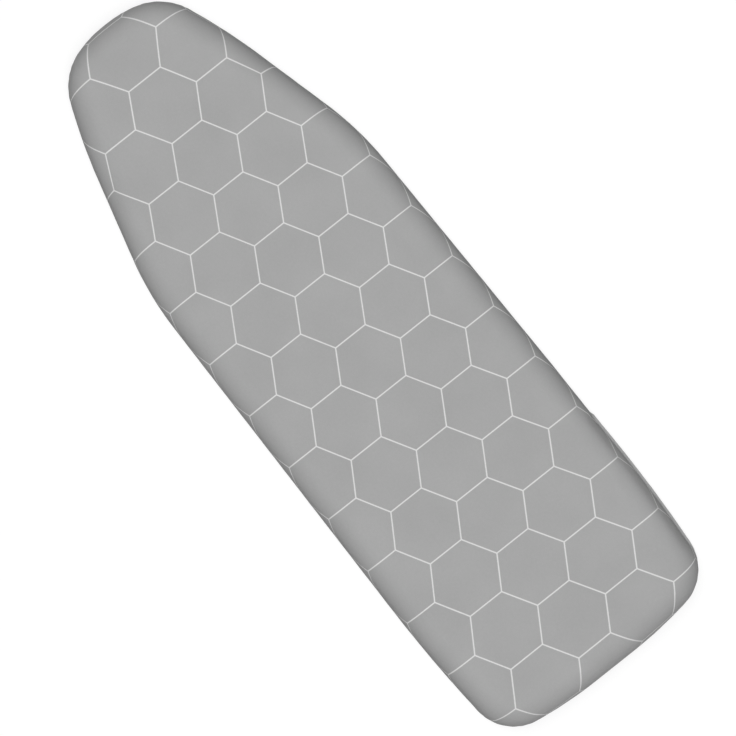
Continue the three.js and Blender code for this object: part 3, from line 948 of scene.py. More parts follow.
# %% Soft unevenness of cloth over foam
# Each swell is a height and two sines, with their waves along and across, in radians a metre, and a start.
SWELLS = (
    (0.00022, (31, 17, 0.6), (13, -41, 1.9)),
    (0.00012, (67, -23, 2.2), (29, 71, 0.3)),
)


def unevenness(x, y):
    """Height of the padded face above flat, a few tenths of a millimetre."""
    total = 0.0
    for height, *waves_of_swell in SWELLS:
        first, second = (np.sin(along * x + across * y + start) for along, across, start in waves_of_swell)
        total = total + height * (first * second)
    return total


# %% The tuck on the right side
# Along X the tuck begins at the first place, is full from the second to the third, and ends at the fourth.
# The ledge lies between the two heights of TUCK_LEDGE. Above it the wall is drawn in, less and less over
# TUCK_FADE, and below it the cloth stands out by LIP. From the tuck's end towards the nose the wall is
# drawn in by SLACK, which has gone at SLACK_END.
TUCK_X = (-0.575, -0.520, -0.2945, -0.2925)
TUCK_DEPTH = 0.0027
TUCK_LEDGE = (0.0094, 0.0120)
TUCK_FADE = (0.026, HEIGHT - 0.004)
LIP = 0.0009
SLACK = 0.0010
SLACK_END = -0.185
BARE_MARGIN = (0.0003, 0.0010)


def in_tuck(x):
    return smooth(TUCK_X[0], TUCK_X[1], x) * (1 - smooth(TUCK_X[2], TUCK_X[3], x))


def tuck(rows, share=1.0):
    """Draws the wall of the right side in above a low ledge, and lets the cloth below it stand out."""
    x, y, z = np.moveaxis(rows, 2, 0)
    beyond = smooth(TUCK_X[2], TUCK_X[3], x) * (1 - smooth(TUCK_X[3], SLACK_END, x))
    wall = (y < 0) & (np.abs(y) > np.abs(ring(SHOULDER_RADIUS)[0][None, :, 1]))
    foot = (y < 0) & (np.abs(y) > np.abs(ring(FOOT_END)[0][None, :, 1]))
    above = np.clip((z - TUCK_LEDGE[0]) / (TUCK_LEDGE[1] - TUCK_LEDGE[0]), 0, 1)
    fade = 1 - smooth(*TUCK_FADE, z)
    drawn = TUCK_DEPTH * in_tuck(x) * above * wall - LIP * in_tuck(x) * (1 - above) * foot
    drawn = drawn + SLACK * beyond * np.where(above > 0, wall, foot)
    rows[..., :2] += ring(0)[1][None] * (share * fade * drawn)[..., None]
    return rows


def on_ledge(rows):
    """1 where a point lies on the ledge of the tuck, and 0 elsewhere."""
    x, y, z = np.moveaxis(rows, 2, 0)
    near, far = BARE_MARGIN
    up = smooth(TUCK_LEDGE[0] - far, TUCK_LEDGE[0] - near, z)
    up = up * (1 - smooth(TUCK_LEDGE[1] + near, TUCK_LEDGE[1] + far, z))
    return in_tuck(x) * up * (y < 0)


# %% [markdown]
# The print isn't quite even on the real cover, because the cloth was pulled tight over the board. The
# hexagons could be laid without that pull, but then their lines would meet the edge at other places than
# in the photograph. It is written as a stretch that changes slowly along the cover, and faster at the nose
# and the heel.

# %% Place of the cloth on its print
# The pairs are along and across, except for ACROSS_DRAWN, whose two values go with x and with its square.
PRINT_START = (0.0293, -0.0029)
PRINT_STRETCH = (1.0136, 1.0087)
PRINT_SHEAR = -0.0026
ALONG_DRAWN = -0.0105
ACROSS_DRAWN = (0.0878, -0.1277)
PRINT_BEND = -0.0053
PULL_FROM = 0.3
NOSE_PULL = (-0.089, -1.637)
HEEL_PULL = (0.0414, 0.324)
HEEL_TWIST = 0.117


def print_place(x, y):
    """Where a point of the flat cloth lies on the print, along and across."""
    nose = np.clip(x - PULL_FROM, 0, None) ** 2
    heel = np.clip(-PULL_FROM - x, 0, None) ** 2
    along = PRINT_STRETCH[0] * x + PRINT_SHEAR * y + ALONG_DRAWN * x**3
    along = along + NOSE_PULL[0] * nose + (HEEL_PULL[0] + HEEL_TWIST * y) * heel
    wider = PRINT_STRETCH[1] + ACROSS_DRAWN[0] * x + ACROSS_DRAWN[1] * x**2
    wider = wider + NOSE_PULL[1] * nose + HEEL_PULL[1] * heel
    across = y * wider + PRINT_BEND * x**2
    return np.column_stack((along + PRINT_START[0], across + PRINT_START[1]))


def flat_rows(way):
    """The rows of a way laid flat: each point moves straight out from the face's edge by its length."""
    return np.array([FACE_EDGE - FACE_INWARD * length for length in lengths_along(way)])


# %% Build the face
SOFT_REACH = 0.03
BAKE_MARGIN = 0.01


def build_face():
    outer_way, inner_way = cloth_way(0.0), cloth_way(CLOTH)
    outer = tuck(gathered(*outer_way.T))
    inner = tuck(gathered(*inner_way.T))
    soft = unevenness(*FILL_POINTS.T) * smooth(0.0, SOFT_REACH, FILL_DISTANCES)
    tops = np.column_stack((FILL_POINTS, HEIGHT + soft))
    backs = np.column_stack((FILL_POINTS, HEIGHT - CLOTH + soft))
    rows = len(outer_way)
    side = rows * ROUND + len(FILL_POINTS)
    vertices = np.vstack((outer.reshape(-1, 3), tops, inner.reshape(-1, 3), backs))

    def numbered(i, first):
        return first + i if i < ROUND else first + rows * ROUND + i - ROUND

    faces = []
    for first, flip in ((0, False), (side, True)):
        own = grid_quads(first, rows, ROUND)
        own += [tuple(numbered(i, first) for i in triangle) for triangle in FILL_TRIANGLES]
        faces += [face[::-1] for face in own] if flip else own
    cut = (rows - 1) * ROUND
    faces += strip_quads(range(cut, cut + ROUND), range(side + cut, side + cut + ROUND))
    mesh = new_mesh("printed_face", vertices, faces)

    # One map places the print. The other keeps the two sides apart, the wrong side above the right one.
    flat = np.vstack((flat_rows(outer_way).reshape(-1, 2), FILL_POINTS))
    both = np.vstack((flat, flat))
    lay_flat(mesh, "flat_cloth", print_place(*both.T))
    spread = flat.max(axis=0) - flat.min(axis=0)
    even = (flat - flat.min(axis=0)) / spread.max() * (1 - 2 * BAKE_MARGIN) + BAKE_MARGIN
    lay_flat(mesh, "OFBake", np.vstack((even, even + np.array([0.0, 0.5]))))
    bare = np.zeros(len(vertices), np.float32)
    bare[: rows * ROUND] = on_ledge(outer).ravel()
    mesh.attributes.new("bare_of_print", "FLOAT", "POINT").data.foreach_set("value", bare)

    piece = new_piece("printed_face", mesh, (PRINTED, REVERSE), ["face_fabric"])
    wrong_side = [int(all(v >= side for v in polygon.vertices)) for polygon in mesh.polygons]
    mesh.polygons.foreach_set("material_index", np.array(wrong_side, np.int32))
    return piece, flat


face, face_flat = build_face()


# %% [markdown]
# ## Foam and felt
# The two padding layers have the same form: a flat middle, the quarter round, and a cut edge. The foam's
# edge is softly rounded. The felt's is square, and its underside is slightly fuzzy. Two solidified planes
# could stand for them, but from below the felt is the largest surface that shows. So both come from one
# function, with the depths of their two sides, and only the foam, which lies against the cloth, follows
# its tuck.

# %% Build the padding
# The cut edge has three rows, at shares of the way between the sides, and each stands out by its share of
# the rounding. The fuzz is a wave along and one across, in radians a metre, each with a slower one that
# shifts it.
EDGE_SHARES = (0.2, 0.5, 0.8)
EDGE_FULLNESS = (0.7, 1.0, 0.7)
PADDING_SOFTNESS = 0.6
PADDING_REACH = 0.02
FUZZ_WAVES = ((420, 97), (390, 83))
FUZZ_DRIFT = 3


def fuzz(x, y, height):
    """Low uneven bumps of needled fibres."""
    (along, along_drift), (across, across_drift) = FUZZ_WAVES
    bumps = height * np.sin(x * along + FUZZ_DRIFT * np.sin(y * along_drift))
    return bumps * np.sin(y * across + FUZZ_DRIFT * np.sin(x * across_drift))


def padding_way(depths, last_turn, rounding):
    """Down the top side of a layer, round its cut edge and back along the lower side."""
    top_way = shoulder_way(depths[0], last_turn)
    back_way = shoulder_way(depths[1], last_turn)
    edge = np.array([top_way[-1] * (1 - t) + back_way[-1] * t for t in EDGE_SHARES])
    edge = edge + np.outer(EDGE_FULLNESS, np.array([0.0, -1.0]) * rounding)
    return np.vstack((top_way, edge, back_way[::-1])), len(top_way)


def build_padding(name, node, material, depths, last_turn, rounding, fuzziness, tucked):
    way, outer_count = padding_way(depths, last_turn, rounding)
    rows = np.array([np.column_stack((ring(inset)[0], np.full(ROUND, height))) for inset, height in way])
    rows[:outer_count] = tuck(rows[:outer_count], tucked)
    soft = unevenness(*FILL_POINTS.T) * PADDING_SOFTNESS
    fade = smooth(0.0, PADDING_REACH, FILL_DISTANCES)
    tops = np.column_stack((FILL_POINTS, HEIGHT - depths[0] + soft * fade))
    bumps = fuzz(*FILL_POINTS.T, fuzziness)
    backs = np.column_stack((FILL_POINTS, HEIGHT - depths[1] + (soft + bumps) * fade))
    vertices = np.vstack((*rows, tops, backs))
    base = len(way) * ROUND
    last = base - ROUND

    def on_top(i):
        return i if i < ROUND else base + i - ROUND

    def on_back(i):
        return last + i if i < ROUND else base + len(FILL_POINTS) + i - ROUND

    faces = grid_quads(0, len(way), ROUND)
    faces += [tuple(on_top(i) for i in triangle) for triangle in FILL_TRIANGLES]
    faces += [tuple(on_back(i) for i in triangle[::-1]) for triangle in FILL_TRIANGLES]
    return new_piece(name, new_mesh(name, vertices, faces), (material,), [node])


foam = build_padding("foam_layer", "foam_pad", FOAM_SKIN, FOAM, FOAM_EDGE_TURN,
                     rounding=0.0008, fuzziness=0.0, tucked=1.0)
felt = build_padding("felt_layer", "felt_underlay", FELT_SKIN, FELT, FELT_EDGE_TURN,
                     rounding=0.0002, fuzziness=0.00012, tucked=0.0)
print("padding:", len(foam.data.polygons), "and", len(felt.data.polygons), "faces")

# %% [markdown]
# ## The hem
# A cotton tape is folded over the cut edge and over a band of elastic, and sewn through near its outer
# edge. A plain tube would look like a cord. A real tape stands slightly full between the stitching and the
# fold, is pinched along the stitching, and follows the same ripple as the cloth inside it, so its section
# is drawn as two sides and a fold. It comes in four lengths, one for each end and each side, that meet on
# the long sides.

# %% Section of the tape
STITCH_INSET = 0.0434
FOLD_CENTRE = 0.0578
TAPE_THICK = 0.0005
TAPE_HALF = 0.0013
TAPE_FULLNESS = 0.00022
STITCH_PINCH = 0.00028
PINCH_REACH = 0.0009
TAPE_STEPS = 13
FOLD_STEPS = 9


def hem_lift():
    return LIVELY * HEM_RIPPLE * np.sin(PHASE)


def tape_half(inset):
    """Half height of the folded tape, outside, at an inset."""
    full = TAPE_FULLNESS * np.sin(np.pi * smooth(STITCH_INSET, FOLD_CENTRE, inset))
    pinch = STITCH_PINCH * np.exp(-(((inset - STITCH_INSET) / PINCH_REACH) ** 2))
    return TAPE_HALF + full - pinch


def tape_way(less):
    """Insets and heights of the tape's section from its lower selvedge round the fold to the upper one,
    less being the depth below the tape's outside."""
    insets = np.linspace(HEM_INSET, FOLD_CENTRE, TAPE_STEPS)
    half = tape_half(insets) - less
    turn = np.radians(np.linspace(-90, 90, FOLD_STEPS))[1:-1]
    radius = TAPE_HALF - less
    fold = np.column_stack((FOLD_CENTRE + radius * np.cos(turn), radius * np.sin(turn)))
    lower = np.column_stack((insets, -half))
    upper = np.column_stack((insets, half))[::-1]
    return np.vstack((lower, fold, upper))


# %% Rows in the hem, and bands with two sides
def hem_rows(way, columns):
    """Rows of points in the hem for some of the ring's places."""
    lift = hem_lift()[columns]
    return np.array([np.column_stack((ring(inset)[0][columns], HEM_RISE + height + lift))
                     for inset, height in way])


def open_shell(outer, inner):
    """A band with two sides, two long rims and two ends. Both sides have the same rows and columns."""
    rows, columns = outer.shape[:2]
    side = rows * columns
    faces = grid_quads(0, rows, columns, closed=False)
    faces += [quad[::-1] for quad in grid_quads(side, rows, columns, closed=False)]
    rims = [range(start, start + columns) for start in (0, side - columns)]
    ends = [range(start, side, columns) for start in (0, columns - 1)]
    for line in (*rims, *ends):
        faces += strip_quads(line, [side + i for i in line], closed=False)
    return np.vstack((outer.reshape(-1, 3), inner.reshape(-1, 3))), faces


def shorten(rows, gap):
    """Draws both ends of a band back by gap, so that two lengths meet without touching."""
    for end, before in ((0, 1), (-1, -2)):
        step = rows[:, before] - rows[:, end]
        rows[:, end] += step / np.linalg.norm(step, axis=1)[:, None] * gap
    return rows


def band_map(run, across):
    """Flat places of a band's points: run along it, and one value across it for each row."""
    return np.array([np.column_stack((run, np.full(len(run), value))) for value in across]).reshape(-1, 2)


# %% Build the four lengths of tape
HEEL_JOIN = -0.4301
NOSE_JOIN = 0.2501
JOIN_GAP = 0.00015


def build_tape(name, columns):
    outer, inner = (shorten(hem_rows(tape_way(less), columns), JOIN_GAP) for less in (0.0, TAPE_THICK))
    mesh = new_mesh(f"hem_tape_{name}", *open_shell(outer, inner))
    flat = band_map(lengths_along(outer[0, :, :2]), lengths_along(tape_way(0.0)))
    lay_flat(mesh, "flat_cloth", np.vstack((flat, flat)))
    return new_piece(f"hem_tape_{name}", mesh, (TAPE_WEAVE,), [f"hem_binding_{name}"])


def hem_columns():
    """Places of the ring that belong to each length of tape."""
    left_x = ring(HEM_INSET)[0][: HALF + 1, 0]
    near, far = (int(np.argmin(np.abs(left_x - join))) for join in (NOSE_JOIN, HEEL_JOIN))
    return {
        "left": np.arange(near, far + 1),
        "heel": np.arange(far, ROUND - far + 1),
        "right": np.arange(ROUND - far, ROUND - near + 1),
        "nose": np.arange(ROUND - near, ROUND + near + 1) % ROUND,
    }


tapes = [build_tape(name, columns) for name, columns in hem_columns().items()]
print("tape:", {tape.name: len(tape.data.polygons) for tape in tapes})

# %% [markdown]
# The elastic lies in the fold. It could be left out, since it hardly shows, but it is what draws the hem
# in: a flat band, 8 mm wide, closed in a ring, with a low rib for each rubber thread.

# %% Build the hem elastic
BAND_SPAN = (0.0503, 0.0583)
BAND_STEPS = 11
BAND_HALF = 0.00045
BAND_RIB = 0.00004
BAND_ROUNDING = 12
BAND_SELVEDGE = 0.4


def build_hem_elastic():
    insets = np.linspace(*BAND_SPAN, BAND_STEPS)
    across = np.linspace(0, 1, BAND_STEPS)
    ribs = BAND_RIB * np.abs(np.sin(np.arange(BAND_STEPS) * math.pi / 2))
    edge = np.minimum(1, np.sqrt(across * (1 - across) * BAND_ROUNDING) + BAND_SELVEDGE)
    half = BAND_HALF * edge + ribs
    way = np.vstack((np.column_stack((insets, half)), np.column_stack((insets, -half))[::-1]))
    rows = hem_rows(way, np.arange(ROUND))
    faces = grid_quads(0, len(way), ROUND)
    last = (len(way) - 1) * ROUND
    faces += strip_quads(range(last, last + ROUND), range(ROUND))
    mesh = new_mesh("hem_elastic_band", rows.reshape(-1, 3), faces)
    run = lengths_along(ring(insets[0])[0])
    lay_flat(mesh, "flat_cloth", band_map(run, lengths_along(way)))
    return new_piece("hem_elastic_band", mesh, (ELASTIC,), ["hem_elastic"])


hem_band = build_hem_elastic()
print("hem elastic:", len(hem_band.data.polygons), "faces")

# %% [markdown]
# ## Stitches
# A sewn line is a row of short threads that rise out of the cloth and dive back into it. A bump in the
# material could draw it, but it would vanish at the rim. So one stitch is made once, as a small bent tube,
# and laid along a line of places and directions. Lockstitch looks the same from both sides, so the hem gets
# a row on each.

# %% One stitch, laid many times
STITCH_SIDES = 6
STITCH_STEPS = 5
THREAD_RADIUS = 0.0002
STITCH_RISE = 0.75
STITCH_DIVE = 1.9


def stitches(centres, directions, normals, length):
    """Vertices and faces of stitches at centres, each along its direction and arched along its normal."""
    t = np.linspace(-1, 1, STITCH_STEPS + 1)
    arch = THREAD_RADIUS * (STITCH_RISE - STITCH_DIVE * t**4)
    turn = np.arange(STITCH_SIDES) * 2 * math.pi / STITCH_SIDES
    along = np.repeat(t * length / 2, STITCH_SIDES)
    aside = np.tile(THREAD_RADIUS * np.cos(turn), len(t))
    above = np.repeat(arch, STITCH_SIDES) + np.tile(THREAD_RADIUS * np.sin(turn), len(t))
    sideways = np.cross(normals, directions)
    vertices = (
        centres[:, None]
        + along[None, :, None] * directions[:, None]
        + aside[None, :, None] * sideways[:, None]
        + above[None, :, None] * normals[:, None]
    )
    one = capped_tube(len(t), STITCH_SIDES)
    faces = [tuple(i + k * len(along) for i in face) for k in range(len(centres)) for face in one]
    return vertices.reshape(-1, 3), faces


def join_parts(parts):
    """One list of vertices and faces from several."""
    vertices, faces, count = [], [], 0
    for own, its_faces in parts:
        vertices.append(own)
        faces += [tuple(i + count for i in face) for face in its_faces]
        count += len(own)
    return np.vstack(vertices), faces


# %% Stitching of the hem
HEM_STITCH = 0.0027
HEM_PITCH = 0.0036


def along_hem(inset, height):
    """Centres and directions of stitches at even steps round the hem."""
    lift = HEM_RISE + height + hem_lift()
    points = np.column_stack((ring(inset)[0], lift))
    closed = np.vstack((points, points[:1]))
    run = lengths_along(closed)
    at = np.arange(0, run[-1] - HEM_PITCH / 2, HEM_PITCH)
    centres, ahead = (np.column_stack([np.interp(where, run, closed[:, k]) for k in range(3)])
                      for where in (at, at + HEM_PITCH / 4))
    direction = ahead - centres
    return centres, direction / np.linalg.norm(direction, axis=1)[:, None]


def build_hem_stitching():
    parts = []
    for sign in (-1, 1):
        height = sign * float(tape_half(np.array([STITCH_INSET]))[0])
        centres, directions = along_hem(STITCH_INSET, height)
        normals = np.tile((0.0, 0.0, float(sign)), (len(centres), 1))
        normals -= directions * (normals * directions).sum(axis=1)[:, None]
        normals /= np.linalg.norm(normals, axis=1)[:, None]
        parts.append(stitches(centres, directions, normals, HEM_STITCH))
    mesh = new_mesh("hem_stitching", *join_parts(parts))
    return new_piece("hem_stitching", mesh, (SEWING_THREAD,))


hem_stitching = build_hem_stitching()
print("hem stitching:", len(hem_stitching.data.polygons), "faces")

# %% [markdown]
# ## The cross straps
# Each strap is one band of woven elastic. Its end goes down through the slot of a clip, round the bar and
# back, and is sewn to itself in a box with a cross. A curve with a bevel could carry the band, but a swept
# section keeps its width, its rounded selvedges and one low rib for each rubber thread. It is swept along
# the band's own line as seen from the side.

# %% Line of a strap and its section
# Places along a strap's end are measured outwards from the inner edge of the hem.
STRAP_WIDTH = 0.018
STRAP_HALF = 0.00058
LOOP_CENTRE = -0.0197
LOOP_RADIUS = 0.0013
LOOP_STEPS = 15
LAP_START = -0.0236
LAP_END = -0.0353
LAP_LEVEL = 0.0006
LAP_STEPS = 12
MOUTH = LOOP_CENTRE - 0.0016
MOUTH_STEPS = 6
SETTLE_END = LAP_END - 0.005
SETTLE_STEPS = 7
SECTION_STEPS = 37
SELVEDGE_POWER = 14
SELVEDGE_HALF = 0.0001
STRAP_RIB = 0.00005
RIB_PAIRS = 6


def end_line(hem_reach):
    """The line of one strap end, from its cut edge under the lap to the single band, as (out, up)."""
    turn = np.radians(np.linspace(-90, 90, LOOP_STEPS))
    loop = np.column_stack((LOOP_CENTRE + LOOP_RADIUS * np.cos(turn), LOOP_RADIUS * np.sin(turn)))
    lap = np.linspace(LAP_END, LAP_START, LAP_STEPS)
    blend_in = np.linspace(LAP_START, MOUTH, MOUTH_STEPS)[1:]
    rise = LAP_LEVEL + (LOOP_RADIUS - LAP_LEVEL) * smooth(LAP_START, MOUTH, blend_in)
    flat_lap = np.column_stack((lap, np.full(LAP_STEPS, -LAP_LEVEL)))
    below = np.vstack((flat_lap, np.column_stack((blend_in, -rise))))
    over = np.column_stack((below[::-1, 0], -below[::-1, 1]))
    away = np.linspace(LAP_END, SETTLE_END, SETTLE_STEPS)[1:]
    settle = LAP_LEVEL * smooth(SETTLE_END, LAP_END, away)
    line = np.vstack((below, loop, over, np.column_stack((away, settle))))
    return line + np.array([hem_reach, 0.0])


def strap_section():
    """Points round the band's section, as (across, up)."""
    across = np.linspace(-1, 1, SECTION_STEPS)
    edge = np.sqrt(np.clip(1 - np.abs(across) ** SELVEDGE_POWER, 0, 1))
    rib = STRAP_RIB * np.abs(np.sin(across * RIB_PAIRS * math.pi))
    half = np.maximum(STRAP_HALF * edge - STRAP_RIB + rib, SELVEDGE_HALF)
    top = np.column_stack((across * STRAP_WIDTH / 2, half))
    return np.vstack((top, top[::-1] * np.array([1.0, -1.0])))


# %% Build the straps
PLACES = ("heel", "middle", "nose")
PIN_BACK = 0.005
MIDDLE_STEPS = 60


def directions_along(line):
    step = np.gradient(line, axis=0)
    return step / np.linalg.norm(step, axis=1)[:, None]


def sweep_band(line, section, x):
    """Sweeps the section along a line in the plane across the cover at x."""
    step = directions_along(line)
    normal = np.column_stack((-step[:, 1], step[:, 0]))
    across, up = section.T
    ys = line[:, :1] + normal[:, :1] * up
    zs = line[:, 1:] + normal[:, 1:] * up
    xs = np.broadcast_to(x + across, ys.shape)
    return np.stack((xs, ys, HEM_RISE + zs), axis=2)


def build_strap(place, x, hem_reach):
    left = end_line(hem_reach)
    right = (left * np.array([-1.0, 1.0]))[::-1]
    middle = np.linspace(left[-1, 0], right[0, 0], MIDDLE_STEPS)[1:-1]
    line = np.vstack((left, np.column_stack((middle, np.zeros(len(middle)))), right))
    section = strap_section()
    rows = sweep_band(line, section, x)
    mesh = new_mesh(f"strap_{place}_webbing", rows.reshape(-1, 3), capped_tube(*rows.shape[:2]))
    run = lengths_along(line)
    across = np.repeat(section[None, :, 0], len(line), axis=0)
    flat = np.stack((np.broadcast_to(run[:, None], across.shape), across), axis=2)
    lay_flat(mesh, "flat_cloth", flat.reshape(-1, 2))
    new_piece(f"strap_{place}_webbing", mesh, (ELASTIC,), [f"strap_{place}"])
    return float(run[-1])


rivet_reach = {round(p[0], 5): abs(p[1]) for p in joint_places}
for strap_name, station in zip(PLACES, STATIONS):
    strap_length = build_strap(strap_name, station, rivet_reach[station] + PIN_BACK)
    print("strap", strap_name, "band", round(strap_length, 4), "m long")


# %% Stitched box on each lap
BOX = (0.0135, 0.0100)
BOX_CENTRE = -0.0296
STRAP_STITCH = 0.0019
STRAP_PITCH = 0.0024


def box_lines():
    """The box and its cross, as pairs of ends in (across, out)."""
    w, h = BOX[0] / 2, BOX[1] / 2
    corners = [(-w, -h), (w, -h), (w, h), (-w, h)]
    lines = [(corners[i], corners[(i + 1) % 4]) for i in range(4)]
    return lines + [(corners[0], corners[2]), (corners[1], corners[3])]


def build_strap_stitching(place, x, hem_reach):
    centres, directions, normals = [], [], []
    for side in (1, -1):
        for sign in (1, -1):
            for start, end in box_lines():
                start, end = np.array(start), np.array(end)
                length = float(np.linalg.norm(end - start))
                way = (end - start) / length
                count = max(2, round(length / STRAP_PITCH))
                for share in (np.arange(count) + 0.5) / count:
                    across, out = start + (end - start) * share
                    y = side * (hem_reach + BOX_CENTRE + out)
                    centres.append((x + across, y, HEM_RISE + sign * (LAP_LEVEL + STRAP_HALF)))
                    directions.append((way[0], side * way[1], 0.0))
                    normals.append((0.0, 0.0, float(sign)))
    made = stitches(np.array(centres), np.array(directions), np.array(normals), STRAP_STITCH)
    mesh = new_mesh(f"strap_{place}_stitching", *made)
    new_piece(f"strap_{place}_stitching", mesh, (SEWING_THREAD,))
    return len(centres)


for strap_name, station in zip(PLACES, STATIONS):
    stitch_count = build_strap_stitching(strap_name, station, rivet_reach[station] + PIN_BACK)
    print("strap", strap_name, "stitches:", stitch_count)

# %% [markdown]
# ## The clips
# The jaws are pressed from 0.8 mm strip. They could be modelled again, but their solids already have the
# right shape, with teeth, ears and slots. Only every edge is knife sharp, while a pressed edge is slightly
# rounded and catches the light. So each jaw is rebuilt from its solid, with its flat faces joined and its
# edges bevelled.

# %% Rounded copies of the jaws
JAW_ROUNDING = 0.00012
JAW_CREASE = 35
SAME_PLACE = 1e-6
SAME_PLANE_ANGLE = 1
BEVEL_ANGLE = 24


def rounded_copy(node, name, body):
    """The jaw of a clip, made of its solid with flat faces joined and sharp edges bevelled."""
    work = bmesh.new()
    work.from_mesh(frame["nodes"][node].data)
    bmesh.ops.remove_doubles(work, verts=work.verts, dist=SAME_PLACE)
    bmesh.ops.dissolve_limit(work, angle_limit=math.radians(SAME_PLANE_ANGLE), verts=work.verts,
                             edges=work.edges)
    sharp = [edge for edge in work.edges if len(edge.link_faces) == 2
             and edge.calc_face_angle(0) > math.radians(BEVEL_ANGLE)]
    bmesh.ops.bevel(work, geom=sharp, offset=JAW_ROUNDING, offset_type="OFFSET", segments=2, profile=0.5,
                    affect="EDGES", clamp_overlap=True)
    mesh = bpy.data.meshes.new(name)
    work.to_mesh(mesh)
    work.free()
    return new_piece(name, mesh, (PLATED,), [node], body, crease=JAW_CREASE)


# %% [markdown]
# The rivet is turned, so its profile is spun: a pin with a low domed head at each end. A cylinder and two
# balls would leave seams inside it. The spring is wire wound round the pin, with a leg against each jaw.
# Its last turn would have to follow the lever, but here the spring rides on no body and keeps its place as
# the jaw opens.

# %% Rivet
PIN_RADIUS = 0.001
HEAD_RADIUS = 0.0018
HEAD_START = 0.0122
HEAD_HEIGHT = 0.0006
HEAD_RIM = 0.35
HEAD_TIP = 0.00005
DOME_STEPS = 6
RIVET_SIDES = 28
RIVET_CREASE = 40


def rivet_profile():
    """Radius and place along the pin, from one head to the other."""
    dome = np.radians(np.linspace(0, 90, DOME_STEPS))
    head = [(HEAD_RADIUS * math.cos(a), HEAD_START + HEAD_HEIGHT * (HEAD_RIM + (1 - HEAD_RIM) * math.sin(a)))
            for a in dome]
    head = [(max(radius, HEAD_TIP), x) for radius, x in head]
    half = [(PIN_RADIUS, 0.0), (PIN_RADIUS, HEAD_START), (HEAD_RADIUS, HEAD_START), *head]
    return [(radius, -x) for radius, x in half[::-1]] + half[1:]


def build_rivet(name, centre, node):
    turn = np.arange(RIVET_SIDES) * 2 * math.pi / RIVET_SIDES
    rows = [np.column_stack((np.full(RIVET_SIDES, x), radius * np.cos(turn), radius * np.sin(turn)))
            for radius, x in rivet_profile()]
    mesh = new_mesh(name, np.vstack(rows) + np.array(centre), capped_tube(len(rows), RIVET_SIDES))
    return new_piece(name, mesh, (PLATED,), [node], crease=RIVET_CREASE)


# %% Spring
WIRE_RADIUS = 0.00035
COIL_RADIUS = 0.00185
COIL_TURNS = 3.5
COIL_PITCH = 0.00125
SPRING_LEG = 0.003
LEG_POINTS = 6
TURN_POINTS = 24
WIRE_SIDES = 10


def spring_line():
    """The wire's line about the pin: x along the pin, y out from it, z up."""
    steps = round(COIL_TURNS * TURN_POINTS)
    t = np.arange(steps + 1) / steps
    angle = -math.pi / 2 + t * COIL_TURNS * 2 * math.pi
    x = (t - 0.5) * COIL_TURNS * COIL_PITCH
    coil = np.column_stack((x, COIL_RADIUS * np.cos(angle), COIL_RADIUS * np.sin(angle)))
    legs = np.linspace(1, 1 / LEG_POINTS, LEG_POINTS)[:, None] * np.array([0.0, -SPRING_LEG, 0.0])
    return np.vstack((coil[0] + legs, coil, coil[-1] + legs[::-1]))


def build_spring(name, centre, side, node):
    line = spring_line() * np.array([side, side, 1.0]) + np.array(centre)
    step = directions_along(line)
    across = np.cross(step, (1.0, 0.0, 0.0))
    across /= np.linalg.norm(across, axis=1)[:, None]
    other = np.cross(step, across)
    turn = np.arange(WIRE_SIDES) * 2 * math.pi / WIRE_SIDES
    round_wire = WIRE_RADIUS * np.array([np.cos(turn), np.sin(turn)])
    rows = (line[:, None] + round_wire[0][None, :, None] * across[:, None]
            + round_wire[1][None, :, None] * other[:, None])
    mesh = new_mesh(name, rows.reshape(-1, 3), capped_tube(len(line), WIRE_SIDES))
    piece = new_piece(name, mesh, (WIRE,), [node], body=None)
    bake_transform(piece)
    return piece


# %% Build the six clips
for strap_name, station in zip(PLACES, STATIONS):
    for side_name, side in (("left", 1), ("right", -1)):
        where = f"{strap_name}_{side_name}"
        pin = (station, side * rivet_reach[station], HEM_RISE)
        lever = f"lever_{where}"
        rounded_copy(f"clip_base_{where}", f"clip_{where}_lower_jaw", "cover")
        rounded_copy(f"clip_lever_{where}", f"clip_{where}_upper_jaw", lever)
        build_rivet(f"clip_{where}_rivet", pin, f"clip_rivet_{where}")
        build_spring(f"clip_{where}_spring", pin, side, f"clip_spring_{where}")

# %% [markdown]

# %% [markdown]
# ## Floor, light and camera
# The photograph looks straight down on the face, under broad soft light. One lamp above would leave the
# edge black, and a sky alone would leave it flat. Two wide suns lean towards the nose and the heel, and a
# plain sky fills the sides. The floor is grey for the light, so that little of it bounces back, and white
# for the camera, with the object's shadow kept.

# %% Floor
# The floor glows by the first value of FLOOR_GLOW for light on its way, and by the second for the camera.
FLOOR_GREY = 0.20
FLOOR_GLOW = (0.10, 0.82)
FLOOR_SIZE = 14
FLOOR_DROP = 0.0004


def seen_by_camera(tree):
    """1 for what the camera sees, straight or in a reflection, and 0 for light on its way."""
    path = tree.nodes.new("ShaderNodeLightPath").outputs
    seen = maths(tree, "MAXIMUM", path["Is Camera Ray"], path["Is Glossy Ray"])
    return maths(tree, "MAXIMUM", seen, path["Is Transmission Ray"])


def floor_material():
    material = bpy.data.materials.new("studio_floor")
    material.use_nodes = True
    tree = material.node_tree
    tree.nodes.clear()
    diffuse = add(tree, "ShaderNodeBsdfDiffuse", {"Color": (FLOOR_GREY,) * 3 + (1,)})
    strength = ranged(tree, seen_by_camera(tree), 0, 1, *FLOOR_GLOW)
    glow = add(tree, "ShaderNodeEmission", {"Strength": strength})
    lit = add(tree, "ShaderNodeAddShader", (diffuse, glow))
    back = add(tree, "ShaderNodeNewGeometry", output="Backfacing")
    clear = add(tree, "ShaderNodeBsdfTransparent")
    shown = add(tree, "ShaderNodeMixShader", (back, lit, clear))
    tree.links.new(shown, tree.nodes.new("ShaderNodeOutputMaterial").inputs["Surface"])
    return material


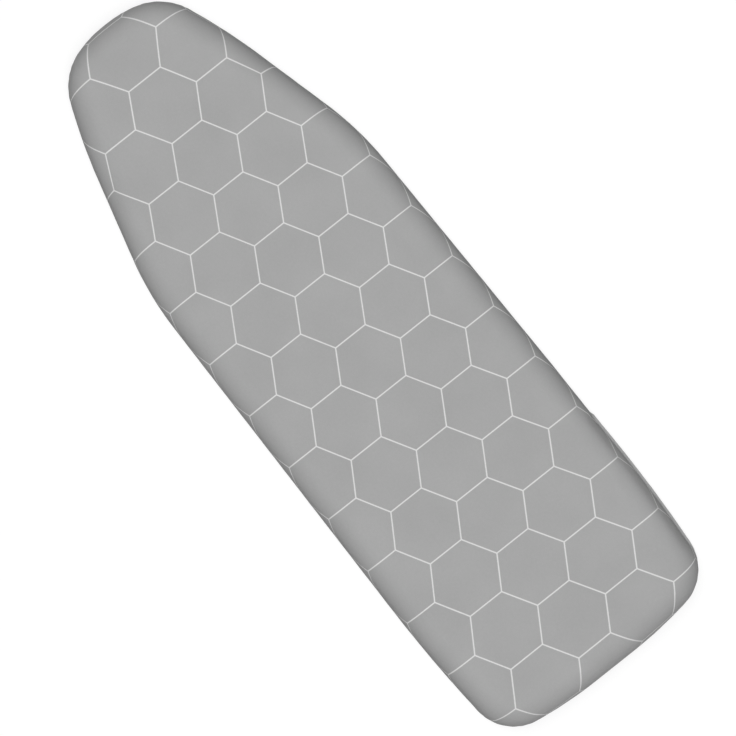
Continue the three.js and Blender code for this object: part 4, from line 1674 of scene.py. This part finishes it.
half_floor = FLOOR_SIZE / 2
signs = ((-1, -1), (1, -1), (1, 1), (-1, 1))
floor_corners = [(x * half_floor, y * half_floor, -FLOOR_DROP) for x, y in signs]
floor_mesh = bpy.data.meshes.new("floor")
floor_mesh.from_pydata(floor_corners, [], [(0, 1, 2, 3)])
floor_mesh.materials.append(floor_material())
floor = new_object("floor", floor_mesh)
print("floor:", FLOOR_SIZE, "m square")

# %% Suns and sky
SUN_LEAN = 30
SUN_ASIDE = 2.5
SUN_WIDTH = 40
NOSE_STRENGTH = 1.44
HEEL_STRENGTH = 1.61
SKY = 0.12


def add_sun(name, lean, strength):
    light = bpy.data.lights.new(name, "SUN")
    light.energy = strength
    light.angle = math.radians(SUN_WIDTH)
    new_object(name, light).rotation_euler = (math.radians(-SUN_ASIDE), math.radians(lean), 0)


add_sun("sun_nose", SUN_LEAN, NOSE_STRENGTH)
add_sun("sun_heel", -SUN_LEAN, HEEL_STRENGTH)
world = bpy.data.worlds.new("sky")
bpy.context.scene.world = world
world.use_nodes = True
sky_tree = world.node_tree
sky = sky_tree.nodes["Background"]
sky.inputs["Color"].default_value = (1, 1, 1, 1)
sky_level = ranged(sky_tree, seen_by_camera(sky_tree), 0.0, 1.0, SKY, 1.0)
sky_tree.links.new(sky_level, sky.inputs["Strength"])
print("lights:", [light.name for light in bpy.data.lights])

# %% Camera
# The picture is VIEW_WIDTH wide at the height VIEW_LEVEL.
CAMERA_PLACE = (-0.0337, 0.0117, 6.0)
CAMERA_TURN = -128.52
VIEW_WIDTH = 1.0942
VIEW_LEVEL = 0.02
SENSOR_WIDTH = 36
VIEW_END = 50

camera_data = bpy.data.cameras.new("camera")
camera_data.sensor_width = SENSOR_WIDTH
camera_data.lens = SENSOR_WIDTH * (CAMERA_PLACE[2] - VIEW_LEVEL) / VIEW_WIDTH
camera_data.clip_end = VIEW_END
camera = new_object("camera", camera_data)
camera.location = CAMERA_PLACE
camera.rotation_euler = (0, 0, math.radians(CAMERA_TURN))
bpy.context.scene.camera = camera
bpy.context.scene.view_settings.view_transform = "Standard"
print("lens:", round(camera_data.lens, 1), "mm")
